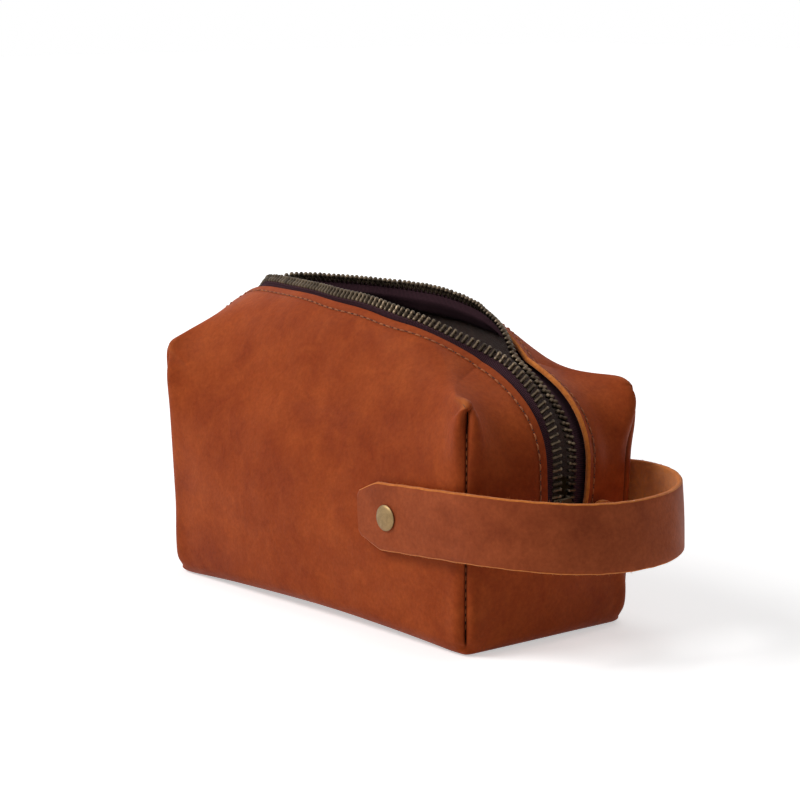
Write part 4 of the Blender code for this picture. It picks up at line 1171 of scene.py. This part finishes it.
def strap_half_height(from_end, cut):
    """Half width of the band near its end: a slanted cut with rounded corners."""
    run, drop = cut
    full = STRAP_WIDTH / 2.0
    slanted = full - drop * (1.0 - np.clip(from_end / run, 0.0, 1.0))
    soft = full - drop * (1.0 - ease(np.clip((from_end + 0.0012) / (run + 0.0024), 0.0, 1.0)))
    value = 0.6 * slanted + 0.4 * soft
    corner = np.clip(from_end / STRAP_END_ROUND, 0.0, 1.0)
    return value - STRAP_END_ROUND * (1.0 - np.sqrt(np.maximum(corner * (2.0 - corner), 0.0)))


def strap_section(half_thickness):
    """(share of the half height, offset outward, kind) round the band's section."""
    outer = [(share, half_thickness) for share in (-0.955, -0.8, -0.55, -0.28, 0.0, 0.28, 0.55, 0.8, 0.955)]
    top = [(0.990, half_thickness * 0.72), (1.0, 0.0), (0.990, -half_thickness * 0.72)]
    inner = [(share, -half_thickness) for share in (0.955, 0.8, 0.55, 0.28, 0.0, -0.28, -0.55, -0.8, -0.955)]
    low = [(-0.990, -half_thickness * 0.72), (-1.0, 0.0), (-0.990, half_thickness * 0.72)]
    kinds = [0] * 8 + [2] * 4 + [1] * 8 + [2] * 4
    return outer + top + inner + low, kinds


def make_strap():
    line, places = strap_line()
    total = places[-1]
    tangents = normalised(np.gradient(line, axis=0))
    outward = np.stack([tangents[:, 1], -tangents[:, 0]], axis=-1)
    turn = np.array(Euler((0.0, -STRAP_TILT, 0.0)).to_matrix())
    section, kinds = strap_section(STRAP_THICKNESS / 2.0)
    reach = STRAP_REACH - STRAP_SIDE_END
    loops = []
    centres = []
    for number, (point, place) in enumerate(zip(line, places)):
        from_end = min(place, total - place)
        top = strap_half_height(from_end, STRAP_TOP_CUT)
        low = strap_half_height(from_end, STRAP_LOW_CUT)
        beyond = max(point[0] + RIVET.x - STRAP_SIDE_END, 0.0) / reach
        drop = STRAP_SAG * beyond ** 2
        loop = []
        for share, offset in section:
            edge = noise.noise(Vector((place * 180.0, share * 0.7, 2.0))) * 0.00022 * abs(share)
            half = top if share > 0.0 else low
            z = share * half + (edge if share > 0.0 else -edge) - drop
            cup = 0.00025 * (1.0 - share * share)
            wave = noise.noise(Vector((place * 28.0, share * 0.5, 8.0))) * 0.00035 * ease(from_end / 0.03)
            local = np.array([point[0], point[1], z])
            way = np.array([outward[number][0], outward[number][1], 0.0])
            local = local + way * (offset + cup + wave)
            loop.append(turn @ local + np.array(RIVET))
        loops.append(loop)
        centres.append(turn @ np.array([point[0], point[1], -drop]) + np.array(RIVET))
    shape = Shape()
    size = len(section)
    for row in range(len(loops) - 1):
        for index in range(size):
            beside = (index + 1) % size
            shape.faces.append((row * size + index, row * size + beside,
                                (row + 1) * size + beside, (row + 1) * size + index))
            shape.kinds.append(kinds[index])
    shape.faces += [tuple(reversed(range(size))), tuple((len(loops) - 1) * size + index for index in range(size))]
    shape.kinds += [2, 2]
    shape.points = [tuple(point) for loop in loops for point in loop]
    item = shape.make("strap_band", [STRAP_FACE, FLESH, CUT_EDGE], 75.0)
    dress(item, "strap", "strap_leather", "strap_handle")
    return np.array(loops), size


def make_fibres(loops):
    """Stray leather fibres that stand off the strap's raw edges."""
    shape = Shape()
    chance = random.Random(5)
    top_index, low_index = 10, 22
    middle = loops.mean(axis=1)
    for number in range(340):
        row = chance.randrange(2, len(loops) - 2)
        upper = chance.random() < 0.6
        start = loops[row][top_index if upper else low_index]
        up = normalised(start - middle[row])
        along = normalised(loops[row + 1][0] - loops[row][0])
        across = np.cross(up, along)
        length = chance.uniform(0.0003, 0.0011) * (1.7 if chance.random() < 0.08 else 1.0)
        start = start + across * chance.uniform(-0.0008, 0.0008) - up * 0.0001
        lean = along * chance.uniform(-1.2, 1.2) + across * chance.uniform(-0.5, 0.5) + up * 0.6
        curl = along * chance.uniform(-0.7, 0.7)
        path = [start + normalised(lean) * length * share + curl * length * share * share * 0.5
                for share in (0.0, 0.35, 0.7, 1.0)]
        shape.add_loops(list(tube_loops(path, [0.00006, 0.00005, 0.00004, 0.00002], 3, across)))
    item = shape.make("strap_fibres", [CUT_EDGE], 180.0)
    dress(item, "strap", "strap_leather")


# Rivets

def turned(name, profile, sides, materials, smooth_angle=40.0):
    """A turned form about Z from (radius, height) points that start and end on the axis."""
    shape = Shape()
    loops = []
    for radius, height in profile:
        radius = max(radius, 0.00001)
        loops.append([(radius * math.cos(2.0 * math.pi * step / sides), radius * math.sin(2.0 * math.pi * step / sides),
                       height) for step in range(sides)])
    shape.add_loops(loops)
    return shape.make(name, materials, smooth_angle)


def make_rivets():
    cap_radius = 0.0051
    dome = [(0.0, 0.0), (cap_radius - 0.0006, 0.0), (cap_radius - 0.0001, 0.00012), (cap_radius, 0.0004)]
    for step in range(1, 15):
        angle = math.pi / 2.0 * step / 14.0
        dome.append((cap_radius * math.cos(angle) ** 0.85 if step < 14 else 0.0, 0.0004 + 0.00115 * math.sin(angle) ** 1.15))
    outer_face = strap_face_offset() + STRAP_THICKNESS / 2.0 + 0.0003
    for side, word in ((-1.0, "front"), (1.0, "rear")):
        cap = turned("rivet_dome_" + word, dome, 56, [CAP_BRASS])
        cap.location = (RIVET.x, side * outer_face, RIVET.z)
        cap.rotation_euler = (-side * math.pi / 2.0, 0.0, 0.0)
        dress(cap, "bag", "brass", "rivet_cap_" + word)
        frame["nodes"]["rivet_post_" + word].data.materials.clear()
        frame["nodes"]["rivet_post_" + word].data.materials.append(CAP_BRASS)


# Slider, ring and pull tab

def joint_frame(name):
    """Place of a joint, and the turn that takes X to the zipper's outward way."""
    axis = Vector(JOINTS["slider_travel"]["axis"])
    tilt = math.atan2(axis.x, axis.z)
    place = Vector(JOINTS[name]["pos_m"]) if name in JOINTS and "pos_m" in JOINTS[name] else None
    return place, Matrix.Rotation(tilt, 3, "Y")


def put(item, place, turn):
    item.data.transform(turn.to_4x4())
    item.data.transform(Matrix.Translation(place))


PLATE_OUTLINE = ((-0.0056, 0.0021), (-0.0052, 0.0028), (-0.0040, 0.0036), (-0.0015, 0.0040), (0.0012, 0.0044),
                 (0.0034, 0.0049), (0.0048, 0.0049), (0.0054, 0.0044), (0.0056, 0.0030), (0.0053, 0.0012))
PLATE_THICKNESS = 0.0011
PLATE_OFFSET = 0.0021


def plate_loops(offset, thickness, edge):
    """Closed outline loops of a slider plate from its inner to its outer face."""
    outline = list(PLATE_OUTLINE) + [(z, -y) for z, y in reversed(PLATE_OUTLINE)]
    loops = []
    for share, shrink in ((-0.5, edge), (-0.5 + 0.2, 0.0), (0.5 - 0.3, 0.0), (0.5 - 0.08, edge * 0.6), (0.5, edge * 1.5)):
        x = offset + share * thickness * (1.0 if offset > 0.0 else -1.0)
        loops.append([(x, y * (1.0 - shrink / 0.0049), z * (1.0 - shrink / 0.0056)) for z, y in outline])
    return loops


def make_slider():
    travel_axis = Vector(JOINTS["slider_travel"]["axis"])
    low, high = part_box("zipper_slider")
    ring_place, turn = joint_frame("ring_swing")
    bail_offset = 0.00265 + 0.0048 / 2.0 + 0.0013
    centre = ring_place - turn @ Vector((bail_offset, 0.0, 0.0))
    shape = Shape()
    for offset in (PLATE_OFFSET, -PLATE_OFFSET):
        shape.add_loops(plate_loops(offset, PLATE_THICKNESS, 0.00035))
    post = [(0.00045, 0.0028), (0.0006, 0.0036), (0.0006, 0.0048), (0.0003, 0.0053)]
    outline = post + [(-y, z) for y, z in reversed(post)]
    shape.add_loops([[(x, y, z) for y, z in outline] for x in (-PLATE_OFFSET, PLATE_OFFSET)])
    bail_path = [(0.0022, -0.0033), (0.0048, -0.0033), (0.0064, -0.0030), (0.0074, -0.0020), (0.0078, -0.0006),
                 (0.0078, 0.0006), (0.0074, 0.0020), (0.0064, 0.0030), (0.0048, 0.0033), (0.0022, 0.0033)]
    path = np.array([(x, 0.0, z) for x, z in bail_path])
    tangents = normalised(np.gradient(path, axis=0))
    side = np.array([0.0, 1.0, 0.0])
    loops = []
    for point, tangent in zip(path, tangents):
        over = np.cross(side, tangent)
        loops.append([point + side * a * 0.00105 + over * b * 0.00045
                      for a, b in ((1.0, 0.5), (0.8, 1.0), (-0.8, 1.0), (-1.0, 0.5), (-1.0, -0.5), (-0.8, -1.0),
                                   (0.8, -1.0), (1.0, -0.5))])
    shape.add_loops(loops)
    slider = shape.make("slider_detail", [SHADED_ANTIQUE_BRASS], 38.0)
    put(slider, centre, turn)
    dress(slider, "slider", "brass", "zipper_slider")


RING_RADIUS = 0.0044


def make_ring():
    place, turn = joint_frame("ring_swing")
    steps = 56
    turns = np.arange(steps) * 2.0 * math.pi / steps
    path = np.stack([np.zeros(steps), np.sin(turns) * RING_RADIUS, np.cos(turns) * RING_RADIUS - RING_RADIUS], axis=-1)
    loops = []
    for angle, point in zip(turns, path):
        outward = np.array([0.0, math.sin(angle), math.cos(angle)])
        loops.append([point + outward * math.cos(t) * 0.0006 + np.array([1.0, 0.0, 0.0]) * math.sin(t) * 0.0006
                      for t in np.arange(12) * math.pi / 6.0])
    shape = Shape()
    shape.add_loops(loops, closed=True)
    ring = shape.make("ring_detail", [SHADED_ANTIQUE_BRASS], 60.0)
    put(ring, place, turn)
    dress(ring, "ring", "brass", "pull_ring")


TAB_THICKNESS = 0.0009
TAB_LAYER_GAP = 0.0004
TAB_LENGTH = 0.0235
TAB_WIDTH = 0.0130
TAB_NECK_WIDTH = 0.0034
TAB_FOLD_RADIUS = 0.0016
TAB_NECK_END = 0.0085
TAB_SHOULDER_END = 0.0165
TAB_RISE = math.radians(4.0)


def make_pull_tab():
    """A strip of leather folded round the ring, smooth outside and napped within the fold."""
    place, turn = joint_frame("tab_turn")
    layer = (TAB_THICKNESS + TAB_LAYER_GAP) / 2.0
    bow = RING_RADIUS - math.sqrt(RING_RADIUS ** 2 - (TAB_NECK_WIDTH / 2.0) ** 2)
    middle = RING_RADIUS - bow / 2.0
    reaches = np.concatenate([np.linspace(TAB_LENGTH, TAB_SHOULDER_END, 14), np.linspace(TAB_SHOULDER_END, TAB_NECK_END, 12)[1:],
                              np.linspace(TAB_NECK_END, middle, 6)[1:-1]])
    settle = ease((reaches - middle) / (TAB_NECK_END - middle))
    upper = [(reach, mix(TAB_FOLD_RADIUS, layer, share)) for reach, share in zip(reaches, settle)]
    angles = np.linspace(0.0, math.pi, 13)
    around = [(middle - TAB_FOLD_RADIUS * math.sin(a), TAB_FOLD_RADIUS * math.cos(a)) for a in angles]
    profile = np.array(upper + around + [(reach, -height) for reach, height in reversed(upper)])
    tangents = normalised(np.gradient(profile, axis=0))
    outward = np.stack([tangents[:, 1], -tangents[:, 0]], axis=-1)
    if outward[0][1] < 0.0:
        outward = -outward
    half = TAB_THICKNESS / 2.0
    section = [(share, half) for share in (-0.96, -0.6, -0.2, 0.2, 0.6, 0.96)] + [(1.0, 0.0)]
    section += [(share, -half) for share in (0.96, 0.6, 0.2, -0.2, -0.6, -0.96)] + [(-1.0, 0.0)]
    kinds = [0] * 5 + [2, 2] + [1] * 5 + [2, 2]
    shape = Shape()
    size = len(section)
    for (reach, height), way in zip(profile, outward):
        shoulder = ease((reach - TAB_NECK_END) / (TAB_SHOULDER_END - TAB_NECK_END))
        width = mix(TAB_NECK_WIDTH, TAB_WIDTH, shoulder) / 2.0
        past = np.clip((reach - (TAB_LENGTH - TAB_WIDTH / 2.0)) / (TAB_WIDTH / 2.0), 0.0, 1.0)
        width *= max(math.sqrt(max(1.0 - float(past) ** 2.4, 0.0)), 0.02)
        for share, offset in section:
            point = np.array([height + way[1] * offset, reach + way[0] * offset, share * width])
            shape.points.append(tuple(point))
    rows = len(profile)
    for row in range(rows - 1):
        for index in range(size):
            beside = (index + 1) % size
            shape.faces.append((row * size + index, row * size + beside,
                                (row + 1) * size + beside, (row + 1) * size + index))
            shape.kinds.append(kinds[index])
    shape.faces += [tuple(reversed(range(size))), tuple((rows - 1) * size + index for index in range(size))]
    shape.kinds += [2, 2]
    tab = shape.make("tab_leather", [STRAP_FACE, FLESH, CUT_EDGE], 60.0)
    put(tab, place, turn @ Matrix.Rotation(TAB_RISE, 3, "X"))
    dress(tab, "tab", "strap_leather", "pull_tab")


def bevel_small_metal_in_shaded_brass():
    # The stops take the antique brass darkened as painted shade, and get softened edges.
    for node in ("zipper_bottom_stop", "zipper_top_stop_front", "zipper_top_stop_rear"):
        item = frame["nodes"][node]
        item.data.materials.clear()
        item.data.materials.append(SHADED_ANTIQUE_BRASS)
        bevel = item.modifiers.new("soft edges", "BEVEL")
        bevel.width = 0.00025
        bevel.segments = 2


# Corner and end seams

def corner_line(x_side, y_side):
    """Points down a corner seam's cleft, with outward directions and distances."""
    heights = np.linspace(0.0100, 0.0880, 60) / CORNER_HEIGHT
    along, across = lean_rear_seam(np.full(60, x_side), np.full(60, y_side), heights)
    points = box_to_bag(along, across, heights)
    outward = normalised(np.array([[x_side, y_side, 0.0]]))
    push = seam_press(np.zeros(60), np.zeros(60), heights * CORNER_HEIGHT, seam_strength(x_side, y_side))[0]
    points = points + outward * (push * 0.85)[:, None]
    runs = np.concatenate([[0.0], np.cumsum(np.linalg.norm(np.diff(points, axis=0), axis=1))])
    return points, np.repeat(outward, 60, axis=0), runs


def end_line(x_side):
    """Points along an end seam under the foot of the slit."""
    shares = np.linspace(-0.86, 0.86, 80)
    points = box_to_bag(x_side, shares, END_SEAM_HEIGHT / CORNER_HEIGHT)
    ways = normalised(np.array([[x_side, 0.0, 0.0]]))
    points = points - ways * 0.0008
    runs = np.concatenate([[0.0], np.cumsum(np.linalg.norm(np.diff(points, axis=0), axis=1))])
    return points, np.repeat(ways, 80, axis=0), runs


def make_seam_threads():
    for x_side, end in ((-1.0, "left"), (1.0, "right")):
        for y_side, word in ((-1.0, "front"), (1.0, "rear")):
            points, ways, runs = corner_line(x_side, y_side)
            name = "corner_stitches_%s_%s" % (word, end)
            make_stitches(name, points, ways, runs, 0.0032, 0.00028, 0.0, [THREAD, NEEDLE_HOLE_SHADE],
                          "corner_thread_%s_%s" % (word, end))
        points, ways, runs = end_line(x_side)
        make_stitches("end_stitches_" + end, points, ways, runs, 0.0032, 0.00034, 0.0, [THREAD, NEEDLE_HOLE_SHADE],
                      "end_thread_" + end)


make_body([RUST, SHADED_INSIDE_FLESH, CUT_EDGE])
for side, word, shift in ((-1.0, "front", 0.0), (1.0, "rear", 0.5)):
    zipper = Zipper(side)
    make_tape(zipper, "tape_" + word, [TAPE], "zipper_tape_" + word)
    make_teeth(zipper, "teeth_" + word, [TEETH], "zipper_teeth_" + word, shift)
    make_stitches("lip_stitches_" + word, zipper.stitch, zipper.stitch_normal, zipper.stitch_place,
                  STITCH_PITCH, 0.00034, 0.00020, [THREAD, NEEDLE_HOLE_SHADE], "zipper_thread_" + word)
make_seam_threads()
strap_loops, strap_size = make_strap()
make_fibres(strap_loops)
make_rivets()
make_slider()
make_ring()
make_pull_tab()
bevel_small_metal_in_shaded_brass()
